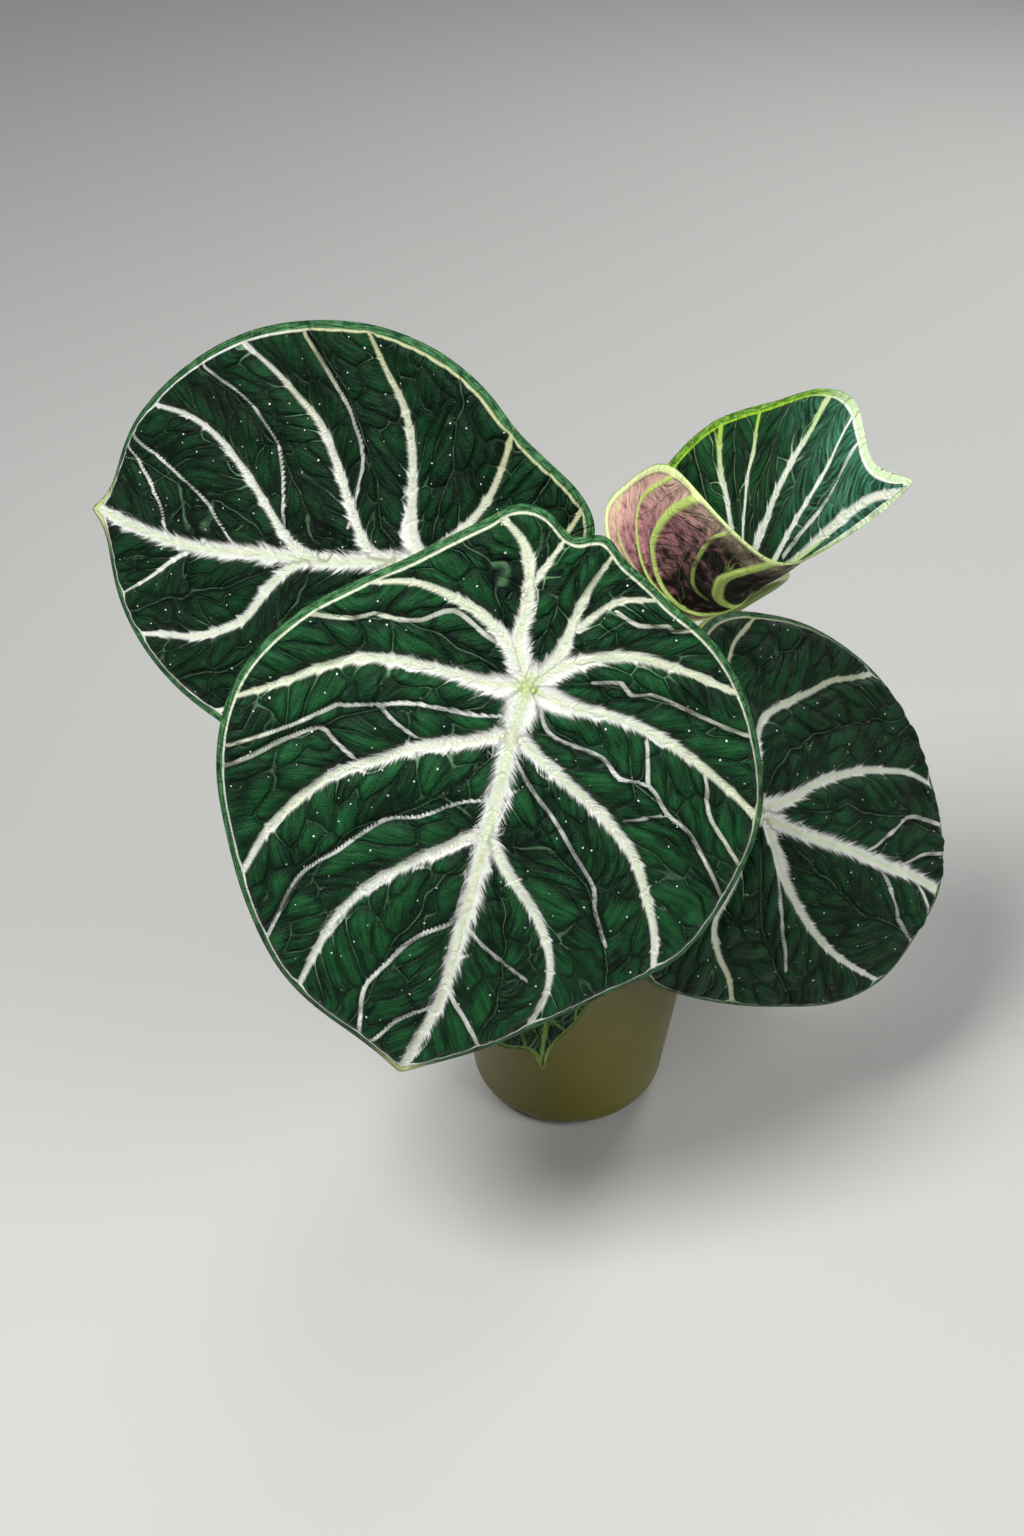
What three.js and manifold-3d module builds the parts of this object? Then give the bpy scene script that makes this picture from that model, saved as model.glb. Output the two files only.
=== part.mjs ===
// A potted jewel alocasia: a tapered pot with soil, a short rootstock, and five shield-shaped leaves on stalks.
// Millimetres, +Z up. The origin is the centre of the pot's flat foot, and the plant's front looks along -Y.
import * as THREE from 'three';
import { mergeVertices } from 'three/addons/utils/BufferGeometryUtils.js';
import Module from 'manifold-3d';

const wasm = await Module();
wasm.setup();
const radians = THREE.MathUtils.degToRad;

// Pot: outer radii at foot and rim, wall, floor, the round edge at the foot and the corner inside it
const POT_HEIGHT = 88;
const POT_FOOT_RADIUS = 34.5;
const POT_RIM_RADIUS = 46;
const POT_WALL = 3;
const POT_FLOOR = 4;
const POT_EDGE_ROUND = 8;
const POT_EDGE_STEPS = 5;
const POT_INNER_CORNER = 3.6;
const POT_RIM_CHAMFER = 1;
const POT_SIDES = 56;
const POT_COLOUR = 0x6f6b33;
const DRAIN_HOLES = 3;
const DRAIN_RADIUS = 3.5;
const DRAIN_CIRCLE = 16;
const DRAIN_SIDES = 16;

// Soil and rootstock. The gap keeps touching pieces just apart.
const GAP = 0.35;
const SOIL_TOP = 73;
const SOIL_MOUND = 1.5;
const SOIL_COLOUR = 0x2b2018;
const ROOTSTOCK_RADIUS = 12.5;
const ROOTSTOCK_BOTTOM = 56;
const ROOTSTOCK_TOP = 79;
const ROOTSTOCK_SIDES = 24;
const ROOTSTOCK_COLOUR = 0x6b5638;

// Leaf blades: thickness, how blunt the margin is, and segments round the margin and from face to face
const BLADE_THICKNESS = 1.2;
const BLADE_EDGE_POWER = 0.45;
const BLADE_SIDES = 40;
const BLADE_ROWS = 14;
const LIFT_WIDTH = 6;
const WALK_STEPS = 16;

// Stalks: where they stand on the crown, and how far they stay from it and from the blade
const STALK_CIRCLE = 8.6;
const STALK_UPRIGHT = 8;
const STALK_CLEARANCE = 0.5;
const STALK_SIDES = 10;
const STALK_STEPS = 20;
const STALK_COLOUR = 0x7f8a4a;

// An outline gives the distance from the stalk to the margin of one half, at these angles from the tip
const OUTLINE_ANGLES = [0, 15, 35, 60, 90, 120, 140, 160, 180];

// Leaves. heading, rise and roll turn the blade; bow bends the midrib and backBow its short rear part, both in
// radians per millimetre. Each half has its outline, lift, the angle at which it leaves the midrib, cup, its
// curvature across the blade, and cupAlong, how fast that curvature changes towards the tip.
// A stalk starts at an angle on the crown and runs through the points of its path to the back of the blade.
const LEAVES = [
  {
    name: 'front', hub: [-16.7, -76.6, 238.6], heading: -125, rise: -60, roll: -36, bow: -0.0018, backBow: 0,
    right: { outline: [124, 113, 102, 90, 71, 54, 46, 46, 45], lift: 0, cup: -0.0022, cupAlong: 0 },
    left: { outline: [124, 120, 104, 91, 69, 50, 47, 52, 45], lift: 0, cup: -0.0022, cupAlong: 0 },
    angle: 285, footRadius: 4, topRadius: 2.4, path: [[3, -14, 130], [0, -28, 185], [-9, -56, 224]],
    colour: 0x123a24,
  },
  {
    name: 'left', hub: [-49, 20, 213.5], heading: 157, rise: -5, roll: -58, bow: -0.001, backBow: 0,
    right: { outline: [128, 119, 99, 87, 72, 56, 52, 54, 48], lift: 0, cup: 0.002, cupAlong: 0 },
    left: { outline: [128, 122, 103, 86, 70, 55, 56, 59, 48], lift: 0, cup: 0.006, cupAlong: 0 },
    angle: 150, footRadius: 3.8, topRadius: 2.3, path: [[-13, 12, 120], [-28, 29, 170], [-43, 36, 200]],
    colour: 0x0f3421,
  },
  {
    name: 'right', hub: [54, -37.7, 163], heading: 21, rise: -39, roll: 49, bow: -0.0005, backBow: 0,
    right: { outline: [106, 103, 93, 78, 64, 53, 43, 38, 36], lift: 0, cup: -0.003, cupAlong: 0 },
    left: { outline: [106, 101, 93, 78, 69, 56, 46, 40, 36], lift: 0, cup: -0.013, cupAlong: 0 },
    angle: 350, footRadius: 3.6, topRadius: 2.2, path: [[14, -4, 105], [28, -12, 135], [42, -24, 153]],
    colour: 0x11361f,
  },
  {
    name: 'young', hub: [50.7, -24, 237], heading: -66.4, rise: 47.4, roll: 93.6, bow: -0.00076, backBow: 0.02,
    right: { outline: [90, 80, 72, 56, 51, 49, 44, 35, 26], lift: -0.29, cup: 0.0042, cupAlong: -0.00029 },
    left: { outline: [90, 47, 57, 63, 65, 67, 42, 18, 26], lift: 1.83, cup: 0.029, cupAlong: 0 },
    angle: 60, footRadius: 3.4, topRadius: 2, path: [[14, 20, 120], [40, 33, 172], [66, 18, 210]],
    colour: 0x5c8f2a,
  },
  {
    name: 'small', hub: [-15, -52, 126.5], heading: -73, rise: -66, roll: -8, bow: -0.004, backBow: 0,
    right: { outline: [52, 46, 40, 36, 27, 20, 18, 18, 16], lift: 0, cup: -0.006, cupAlong: 0 },
    left: { outline: [52, 47, 42, 38, 29, 22, 18, 18, 16], lift: 0, cup: -0.006, cupAlong: 0 },
    angle: 230, footRadius: 2.8, topRadius: 1.6, path: [[-8, -16, 103], [-12, -34, 120]],
    colour: 0x2f6b2a,
  },
];

// Papery sheaths round the foot of the stalks: angle round the crown, height, and lean outwards in degrees
const SHEATHS = [
  { name: 'outer_sheath', angle: 318, height: 34, lean: 9 },
  { name: 'side_sheath', angle: 20, height: 30, lean: 12 },
  { name: 'rear_sheath', angle: 105, height: 38, lean: 7 },
  { name: 'old_sheath', angle: 190, height: 26, lean: 16 },
];
const SHEATH_CIRCLE = 14.6;
const SHEATH_FOOT = SOIL_TOP + 2.4;
const SHEATH_HALF_WIDTH = 6.5;
const SHEATH_TAPER = 0.75;
const SHEATH_CURL_RADIUS = 12;
const SHEATH_THICKNESS = 0.9;
const SHEATH_SIDES = 20;
const SHEATH_ROWS = 10;
const SHEATH_COLOUR = 0xa58f5e;

const plant = new THREE.Group();

function addPiece(name, geometry, color, roughness) {
  geometry.computeVertexNormals();
  const mesh = new THREE.Mesh(geometry, new THREE.MeshStandardMaterial({ color, roughness, metalness: 0 }));
  mesh.name = name;
  plant.add(mesh);
  return mesh;
}

// Only positions stay, with shared corners merged, so that the surface is closed
function weld(geometry) {
  geometry.deleteAttribute('normal');
  geometry.deleteAttribute('uv');
  return mergeVertices(geometry, 1e-4);
}

function toSolid(geometry) {
  const welded = weld(geometry);
  const vertProperties = new Float32Array(welded.getAttribute('position').array);
  const triVerts = new Uint32Array(welded.getIndex().array);
  return new wasm.Manifold(new wasm.Mesh({ numProp: 3, vertProperties, triVerts }));
}

function fromSolid(solid) {
  const mesh = solid.getMesh();
  const geometry = new THREE.BufferGeometry();
  geometry.setAttribute('position', new THREE.BufferAttribute(new Float32Array(mesh.vertProperties), 3));
  geometry.setIndex(new THREE.BufferAttribute(new Uint32Array(mesh.triVerts), 1));
  return geometry;
}

// A body of revolution about +Z from [radius, height] points that start and end on the axis
function turned(outline, sides) {
  const points = outline.map(([radius, height]) => new THREE.Vector2(radius, height));
  return new THREE.LatheGeometry(points, sides).rotateX(Math.PI / 2);
}

// The pot's outer and inner radius at a height, on the straight taper
function outerRadius(height) {
  return THREE.MathUtils.lerp(POT_FOOT_RADIUS, POT_RIM_RADIUS, height / POT_HEIGHT);
}

function innerRadius(height) {
  return outerRadius(height) - POT_WALL;
}

function makePot() {
  const profile = [[0, 0]];
  for (let step = 0; step <= POT_EDGE_STEPS; step += 1) {
    const turn = (Math.PI / 2) * (step / POT_EDGE_STEPS);
    const radius = outerRadius(POT_EDGE_ROUND) - POT_EDGE_ROUND * (1 - Math.sin(turn));
    profile.push([radius, POT_EDGE_ROUND * (1 - Math.cos(turn))]);
  }
  const shoulder = POT_HEIGHT - POT_RIM_CHAMFER;
  profile.push([outerRadius(shoulder), shoulder]);
  profile.push([outerRadius(POT_HEIGHT) - POT_RIM_CHAMFER, POT_HEIGHT]);
  profile.push([innerRadius(POT_HEIGHT) + POT_RIM_CHAMFER, POT_HEIGHT]);
  profile.push([innerRadius(shoulder), shoulder]);
  profile.push([innerRadius(POT_EDGE_ROUND), POT_EDGE_ROUND]);
  profile.push([innerRadius(POT_EDGE_ROUND) - POT_INNER_CORNER, POT_FLOOR]);
  profile.push([0, POT_FLOOR]);
  let pot = toSolid(turned(profile, POT_SIDES));
  for (let hole = 0; hole < DRAIN_HOLES; hole += 1) {
    const angle = Math.PI / 2 + (2 * Math.PI * hole) / DRAIN_HOLES;
    const drill = new THREE.CylinderGeometry(DRAIN_RADIUS, DRAIN_RADIUS, 3 * POT_FLOOR, DRAIN_SIDES);
    drill.rotateX(Math.PI / 2);
    drill.translate(DRAIN_CIRCLE * Math.cos(angle), DRAIN_CIRCLE * Math.sin(angle), 0);
    pot = pot.subtract(toSolid(drill));
  }
  addPiece('pot', fromSolid(pot), POT_COLOUR, 0.5);
}

// The soil fills the pot to well under the rim and leaves a seat for the rootstock on the axis
function makeSoil() {
  const seat = ROOTSTOCK_RADIUS + GAP;
  const profile = [
    [0, POT_FLOOR + GAP],
    [innerRadius(POT_EDGE_ROUND) - POT_INNER_CORNER - GAP, POT_FLOOR + GAP],
    [innerRadius(POT_EDGE_ROUND) - GAP, POT_EDGE_ROUND + GAP],
    [innerRadius(SOIL_TOP) - GAP, SOIL_TOP - SOIL_MOUND],
    [innerRadius(SOIL_TOP) - 8, SOIL_TOP],
    [seat + 4, SOIL_TOP + SOIL_MOUND],
    [seat, SOIL_TOP],
    [seat, ROOTSTOCK_BOTTOM + 4],
    [seat * 0.6, ROOTSTOCK_BOTTOM - GAP],
    [0, ROOTSTOCK_BOTTOM - GAP],
  ];
  addPiece('potting_soil', weld(turned(profile, POT_SIDES)), SOIL_COLOUR, 0.95);
}

function makeRootstock() {
  const profile = [
    [0, ROOTSTOCK_BOTTOM],
    [ROOTSTOCK_RADIUS * 0.55, ROOTSTOCK_BOTTOM + 0.5],
    [ROOTSTOCK_RADIUS * 0.92, ROOTSTOCK_BOTTOM + 5],
    [ROOTSTOCK_RADIUS, ROOTSTOCK_BOTTOM + 12],
    [ROOTSTOCK_RADIUS, ROOTSTOCK_TOP - 4],
    [ROOTSTOCK_RADIUS * 0.97, ROOTSTOCK_TOP - 1],
    [ROOTSTOCK_RADIUS * 0.9, ROOTSTOCK_TOP],
    [0, ROOTSTOCK_TOP],
  ];
  addPiece('rootstock', weld(turned(profile, ROOTSTOCK_SIDES)), ROOTSTOCK_COLOUR, 0.9);
}

// Where a walk of a given length ends, forward and sideways, when its direction is a function of the distance
function walk(length, angleAt) {
  const stride = length / WALK_STEPS;
  let forward = 0;
  let sideways = 0;
  for (let step = 0; step < WALK_STEPS; step += 1) {
    const angle = angleAt(stride * (step + 0.5));
    forward += stride * Math.cos(angle);
    sideways += stride * Math.sin(angle);
  }
  return [forward, sideways];
}

// The point of the blade that lies so far along and across the midrib from the stalk. In the blade's own space
// +X runs to the tip, +Y to the right half and +Z out of the upper face.
function bladePoint(leaf, along, across) {
  const bow = along >= 0 ? leaf.bow : leaf.backBow;
  const [forward, up] = walk(along, (distance) => bow * distance);
  const half = across >= 0 ? leaf.right : leaf.left;
  const cup = half.cup + half.cupAlong * along;
  const [out, raise] = walk(Math.abs(across), (distance) => (
    half.lift * (1 - Math.exp(-distance / LIFT_WIDTH)) + cup * distance));
  const turn = bow * along;
  return new THREE.Vector3(
    forward - raise * Math.sin(turn), Math.sign(across) * out, up + raise * Math.cos(turn));
}

function bladeNormal(leaf, along, across) {
  const reach = 0.5;
  const forward = bladePoint(leaf, along + reach, across).sub(bladePoint(leaf, along - reach, across));
  const sideways = bladePoint(leaf, along, across + reach).sub(bladePoint(leaf, along, across - reach));
  return forward.cross(sideways).normalize();
}

// Distance from stalk to margin at an angle, by a smooth cubic through the outline of one half
function marginDistance(outline, degrees) {
  const last = OUTLINE_ANGLES.length - 1;
  let knot = 0;
  while (knot < last - 1 && degrees > OUTLINE_ANGLES[knot + 1]) knot += 1;
  const slopeAt = (index) => {
    if (index === 0 || index === last) return 0;
    return (outline[index + 1] - outline[index - 1]) / (OUTLINE_ANGLES[index + 1] - OUTLINE_ANGLES[index - 1]);
  };
  const span = OUTLINE_ANGLES[knot + 1] - OUTLINE_ANGLES[knot];
  const t = (degrees - OUTLINE_ANGLES[knot]) / span;
  const blend = t * t * (3 - 2 * t);
  const bend = t * (1 - t) * span * ((1 - t) * slopeAt(knot) - t * slopeAt(knot + 1));
  return THREE.MathUtils.lerp(outline[knot], outline[knot + 1], blend) + bend;
}

// The blade's turn from its own space to the plant's
function bladeTurn(leaf) {
  return new THREE.Euler(radians(leaf.roll), -radians(leaf.rise), radians(leaf.heading), 'ZYX');
}

// A blade is a ball pressed flat into the leaf's surface: the ball's equator becomes the margin
function makeBlade(leaf) {
  const geometry = weld(new THREE.SphereGeometry(1, BLADE_SIDES, BLADE_ROWS));
  const position = geometry.getAttribute('position');
  for (let index = 0; index < position.count; index += 1) {
    const height = position.getY(index);
    const angle = Math.atan2(-position.getZ(index), position.getX(index));
    const half = angle >= 0 ? leaf.right : leaf.left;
    const share = (2 / Math.PI) * Math.acos(Math.min(1, Math.abs(height)));
    const distance = share * marginDistance(half.outline, THREE.MathUtils.radToDeg(Math.abs(angle)));
    const along = distance * Math.cos(angle);
    const across = distance * Math.sin(angle);
    const skin = Math.abs(height) < 1e-6 ? 0 : Math.sign(height) * Math.abs(height) ** BLADE_EDGE_POWER;
    const point = bladePoint(leaf, along, across);
    point.addScaledVector(bladeNormal(leaf, along, across), (BLADE_THICKNESS / 2) * skin);
    position.setXYZ(index, point.x, point.y, point.z);
  }
  const blade = addPiece(`${leaf.name}_leaf_blade`, geometry, leaf.colour, 0.55);
  blade.position.set(...leaf.hub);
  blade.rotation.copy(bladeTurn(leaf));
}

// The curve of a stalk, from the crown to just short of the back of its blade
function stalkCurve(leaf) {
  const angle = radians(leaf.angle);
  const foot = new THREE.Vector3(STALK_CIRCLE * Math.cos(angle), STALK_CIRCLE * Math.sin(angle), 0);
  foot.z = ROOTSTOCK_TOP + GAP;
  const middle = leaf.path.map((point) => new THREE.Vector3(...point));
  const hub = new THREE.Vector3(...leaf.hub);
  const arrival = hub.clone().sub(middle.at(-1)).normalize();
  const square = arrival.dot(new THREE.Vector3(0, 0, 1).applyEuler(bladeTurn(leaf)));
  const slantRadius = leaf.topRadius * Math.sqrt(1 - square * square);
  const top = hub.addScaledVector(arrival, -(BLADE_THICKNESS / 2 + STALK_CLEARANCE + slantRadius) / square);
  const upright = foot.clone().setZ(foot.z + STALK_UPRIGHT);
  return new THREE.CatmullRomCurve3([foot, upright, ...middle, top], false, 'centripetal');
}

// A stalk is a tapered cylinder bent along its curve
function makeStalk(leaf) {
  const curve = stalkCurve(leaf);
  const frames = curve.computeFrenetFrames(STALK_STEPS);
  const geometry = weld(new THREE.CylinderGeometry(1, 1, 1, STALK_SIDES, STALK_STEPS));
  const position = geometry.getAttribute('position');
  for (let index = 0; index < position.count; index += 1) {
    const share = position.getY(index) + 0.5;
    const ring = Math.round(share * STALK_STEPS);
    const radius = THREE.MathUtils.lerp(leaf.footRadius, leaf.topRadius, share);
    const point = curve.getPointAt(share);
    point.addScaledVector(frames.normals[ring], radius * position.getX(index));
    point.addScaledVector(frames.binormals[ring], -radius * position.getZ(index));
    position.setXYZ(index, point.x, point.y, point.z);
  }
  addPiece(`${leaf.name}_leaf_stalk`, geometry, STALK_COLOUR, 0.5);
}

// A sheath is a ball pressed into a pointed strip that curls round the crown
function makeSheath({ name, angle, height, lean }) {
  const geometry = weld(new THREE.SphereGeometry(1, SHEATH_SIDES, SHEATH_ROWS));
  const position = geometry.getAttribute('position');
  for (let index = 0; index < position.count; index += 1) {
    const share = 0.5 + 0.5 * position.getX(index);
    const halfWidth = SHEATH_HALF_WIDTH * (1 - SHEATH_TAPER * share * share);
    const turn = (halfWidth / SHEATH_CURL_RADIUS) * position.getZ(index);
    const radius = SHEATH_CURL_RADIUS + (SHEATH_THICKNESS / 2) * position.getY(index);
    position.setXYZ(index, radius * Math.cos(turn) - SHEATH_CURL_RADIUS, radius * Math.sin(turn), height * share);
  }
  const sheath = addPiece(name, geometry, SHEATH_COLOUR, 0.8);
  const stand = radians(angle);
  sheath.position.set(SHEATH_CIRCLE * Math.cos(stand), SHEATH_CIRCLE * Math.sin(stand), SHEATH_FOOT);
  sheath.rotation.set(0, radians(lean), stand, 'ZYX');
}

makePot();
makeSoil();
makeRootstock();
LEAVES.forEach(makeStalk);
LEAVES.forEach(makeBlade);
SHEATHS.forEach(makeSheath);

export default plant;
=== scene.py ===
"""Looks of a potted jewel alocasia: velvety white-veined leaves on long stalks, in a glazed olive
pot."""

import bpy
import numpy as np
from bpy.props import FloatProperty, FloatVectorProperty, IntProperty, PointerProperty
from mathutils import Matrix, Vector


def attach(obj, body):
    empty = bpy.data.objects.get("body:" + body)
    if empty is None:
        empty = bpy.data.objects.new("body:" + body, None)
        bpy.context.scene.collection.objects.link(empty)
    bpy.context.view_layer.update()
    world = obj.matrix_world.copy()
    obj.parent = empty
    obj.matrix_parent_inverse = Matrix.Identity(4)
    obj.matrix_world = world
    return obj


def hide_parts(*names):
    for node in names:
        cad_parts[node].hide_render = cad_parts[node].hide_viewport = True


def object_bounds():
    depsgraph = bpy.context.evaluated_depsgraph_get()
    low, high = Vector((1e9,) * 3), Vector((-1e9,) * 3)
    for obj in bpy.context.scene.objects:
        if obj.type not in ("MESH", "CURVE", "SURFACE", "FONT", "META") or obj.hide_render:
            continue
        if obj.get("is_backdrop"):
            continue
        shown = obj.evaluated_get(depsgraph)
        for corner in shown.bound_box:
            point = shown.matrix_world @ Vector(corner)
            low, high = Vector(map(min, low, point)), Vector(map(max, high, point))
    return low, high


bl_info = {
    "name": "Potted Alocasia",
    "version": (1, 0, 0),
    "blender": (4, 5, 0),
    "location": "3D View > Sidebar > Alocasia",
    "description": "Makes the leaves, stalks, soil and pot of a potted jewel alocasia",
    "category": "Add Mesh",
}

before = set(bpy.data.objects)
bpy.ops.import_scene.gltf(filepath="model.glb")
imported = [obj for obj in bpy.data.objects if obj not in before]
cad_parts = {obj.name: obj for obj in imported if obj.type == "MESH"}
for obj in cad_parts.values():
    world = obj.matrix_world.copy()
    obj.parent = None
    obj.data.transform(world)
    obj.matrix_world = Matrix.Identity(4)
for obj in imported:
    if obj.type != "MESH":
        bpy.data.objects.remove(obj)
CAD_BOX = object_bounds()
MM = 0.001
MM_PER_M = 1000.0

# Angles from the tip, in degrees, at which an outline gives the distance from the stalk to the margin
OUTLINE_ANGLES = (0, 4, 8, 14, 22, 32, 45, 60, 75, 90, 105, 120, 135, 150, 160, 170, 180)

# A vein is its half-width where it starts and where it ends, and points (along, across) in millimetres
# from the stalk. The first is the midrib; each side then runs from the tip to the base, so that
# neighbours alternate. A vein that starts no wider than this is thin: a crisp pale line of even width.
THIN_VEIN = 0.95
THIN_HALF_WIDTHS = (0.35, 0.25)
FRONT_VEINS = (
    (3.5, 1.5, ((-3, 0), (15, 0), (30, 1), (48, 2), (67, 3), (87, 4), (103, 4), (121, 1))),
    (0.9, 0.4, ((103, 3), (108, -5), (117, -11))),
    (0.8, 0.4, ((73, 1), (81, -9), (92, -15), (102, -19), (115, -17))),
    (2.1, 1.0, ((43, 3), (52, -8), (61, -18), (70, -26), (81, -32), (93, -35), (107, -37))),
    (2.3, 1.1, ((14, 0), (20, -12), (25, -24), (32, -34), (40, -45), (51, -53), (63, -59), (76, -62))),
    (2.4, 0.8, ((0, 0), (2, -12), (2, -24), (3, -38), (5, -47), (11, -57), (19, -67), (26, -77))),
    (2.4, 0.6, ((0, 0), (-10, -8), (-17, -20), (-20, -37), (-16, -51))),
    (2.8, 0.9, ((0, 0), (-11, -6), (-25, -7), (-38, -12), (-45, -22))),
    (1.3, 0.6, ((-25, -8), (-34, -5), (-43, -2))),
    (0.9, 0.4, ((97, 5), (105, 13), (113, 19))),
    (0.5, 0.4, ((74, 2), (81, 14), (87, 26))),
    (2.1, 0.8, ((45, 2), (55, 11), (65, 22), (78, 31), (91, 34), (104, 32))),
    (2.3, 1.1, ((14, 0), (20, 11), (27, 25), (33, 35), (41, 45), (51, 52), (63, 59), (75, 63))),
    (2.4, 1.0, ((0, 0), (2, 13), (2, 28), (4, 40), (8, 52), (15, 67), (22, 79))),
    (2.4, 0.8, ((0, 0), (-9, 9), (-16, 25), (-16, 43), (-14, 57))),
    (1.4, 0.5, ((-20, 9), (-30, 17), (-34, 30))),
    (2.2, 0.6, ((0, 0), (-11, 6), (-29, 8), (-42, 12))),
)
# Thin veins between the side veins, which the photo shows as crisp pale lines
FRONT_THIN_VEINS = (
    ((8, -2), (10, -8), (11, -15), (12, -25), (13, -32), (16, -40), (19, -50)),
    ((19, -50), (29, -61), (35, -69), (40, -76)),
    ((16, -40), (20, -33), (23, -26)),
    ((33, -41), (29, -48), (27, -53), (34, -62), (41, -69), (47, -76)),
    ((-10, -10), (-12, -16), (-16, -26), (-11, -34), (-9, -41), (-9, -47), (-6, -52), (-4, -61)),
    ((34, 0), (37, -9), (44, -19), (49, -29), (62, -39), (73, -47), (90, -50)),
    ((-6, 18), (-8, 25), (-5, 29), (-7, 35), (-6, 42), (-4, 53), (-2, 68)),
    ((4, 4), (11, 9), (13, 16), (14, 26), (19, 33), (19, 42), (26, 50), (30, 58), (39, 67), (47, 74)),
    ((6, 37), (18, 41)),
    ((31, 39), (26, 50)),
    ((11, 57), (22, 61), (30, 69), (38, 78)),
    ((22, 3), (28, 9), (36, 19), (43, 26), (53, 36), (59, 38), (70, 45)),
    ((-27, 18), (-25, 25), (-27, 33), (-26, 35), (-28, 43), (-25, 49)),
)
LEFT_THIN_VEINS = (
    ((52, -4), (53, -21), (57, -34), (65, -44), (83, -55)),
    ((28, -8), (24, -32), (27, -43), (33, -54), (43, -69)),
)
LEFT_VEINS = (
    (2.9, 2.1, ((-3, 0), (15, 1), (34, 4), (53, 5), (70, 6), (88, 7), (106, 5), (125, 1))),
    (0.6, 0.4, ((98, 6), (102, -6), (112, -19))),
    (0.5, 0.4, ((69, 6), (78, -4), (87, -12), (95, -17), (107, -24))),
    (1.9, 0.9, ((39, 4), (50, 0), (59, -9), (68, -19), (81, -31), (93, -37), (106, -39))),
    (2.2, 0.9, ((10, 0), (20, -1), (28, -13), (34, -26), (41, -40), (50, -49), (59, -57), (69, -64))),
    (2.3, 0.8, ((0, 0), (6, -9), (7, -24), (8, -37), (11, -50), (17, -61), (23, -74))),
    (1.8, 0.9, ((0, 0), (-10, -11), (-19, -23), (-24, -36), (-27, -48))),
    (1.6, 0.8, ((0, 0), (-12, -5), (-29, -9), (-45, -15), (-52, -26))),
    (1.2, 0.4, ((84, 5), (96, 13), (103, 19), (113, 26))),
    (2.4, 0.8, ((35, 3), (47, 7), (56, 16), (63, 27), (70, 32), (82, 37), (94, 38), (106, 40))),
    (2.0, 0.7, ((14, 2), (28, 22), (42, 42), (58, 55), (76, 64))),
    (2.0, 0.8, ((0, 0), (2, 20), (5, 43), (14, 60), (28, 76))),
    (2.0, 0.8, ((0, 0), (-9, 9), (-17, 24), (-20, 40), (-18, 55))),
    (1.6, 0.6, ((0, 0), (-20, 7), (-45, 12))),
)
RIGHT_VEINS = (
    (2.6, 2.0, ((-3, 0), (12, -3), (27, -3), (43, -2), (58, -1), (73, -1), (89, 0), (104, -1))),
    (0.6, 0.5, ((80, 0), (89, 7), (98, 10))),
    (0.8, 0.6, ((60, -1), (71, 10), (80, 18), (95, 20))),
    (2.2, 0.9, ((5, -2), (19, 6), (29, 14), (39, 20), (54, 27), (67, 31), (79, 34), (93, 34))),
    (1.6, 0.9, ((0, 0), (0, 13), (0, 26), (9, 35), (22, 44), (33, 52), (44, 57), (56, 63))),
    (1.6, 0.6, ((0, 0), (-12, 16), (-18, 32), (-17, 46), (-8, 59))),
    (1.6, 0.6, ((0, 0), (-20, 10), (-36, 16))),
    (0.6, 0.5, ((87, 1), (96, -7), (103, -13))),
    (0.8, 0.6, ((65, 1), (74, -7), (85, -17), (99, -23))),
    (2.2, 0.8, ((7, -1), (16, -10), (26, -19), (38, -26), (49, -31), (62, -35), (75, -37), (88, -38))),
    (0.5, 0.4, ((19, -14), (27, -27), (38, -40), (44, -46))),
    (1.6, 0.9, ((0, 0), (5, -24), (6, -40), (16, -50), (28, -57), (40, -67))),
    (1.6, 0.6, ((0, 0), (-10, -14), (-17, -30), (-18, -48))),
    (1.5, 0.6, ((0, 0), (-20, -8), (-36, -14))),
)
YOUNG_VEINS = (
    (2.2, 1.3, ((-3, 0), (20, -2), (33, -2), (59, 1), (80, 2), (92, 0))),
    (0.8, 0.6, ((27, 1), (37, 3), (52, 6), (64, 10), (70, 15), (76, 20))),
    (1.4, 0.8, ((12, 0), (21, 2), (37, 8), (49, 13), (58, 18), (62, 23), (67, 31))),
    (2.2, 1.4, ((0, 0), (11, 9), (20, 14), (26, 19), (32, 23), (40, 29), (46, 34), (50, 42))),
    (1.0, 0.9, ((0, 6), (4, 16), (8, 23), (12, 31), (16, 36), (18, 42), (20, 47))),
    (1.6, 1.3, ((0, 0), (-3, 10), (-3, 20), (-2, 28), (-2, 35), (0, 42), (3, 48))),
    (1.5, 0.8, ((0, 0), (-12, 10), (-18, 24), (-18, 42))),
    (1.9, 1.6, ((0, 0), (-5, -5), (3, -15), (11, -19), (22, -21), (41, -17))),
    (0.6, 0.5, ((-2, -18), (3, -25), (15, -30), (32, -33), (41, -32))),
    (1.6, 1.5, ((0, 0), (-10, -9), (-16, -16), (-17, -24), (-13, -33), (1, -42), (18, -46), (36, -45))),
    (1.1, 0.8, ((-16, -20), (-20, -30), (-18, -39), (-8, -51), (4, -56), (23, -55))),
    (0.9, 0.8, ((-24, -30), (-29, -45), (-26, -58), (-14, -67))),
)
# The small leaf has the front leaf's main veins, at two fifths of their size
SMALL_VEINS = tuple(
    (0.45 * start, 0.5 * end, tuple((0.4 * along, 0.4 * across) for along, across in points))
    for start, end, points in FRONT_VEINS
)
FRONT_VEINS += tuple((*THIN_HALF_WIDTHS, points) for points in FRONT_THIN_VEINS)
LEFT_VEINS += tuple((*THIN_HALF_WIDTHS, points) for points in LEFT_THIN_VEINS)

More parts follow.
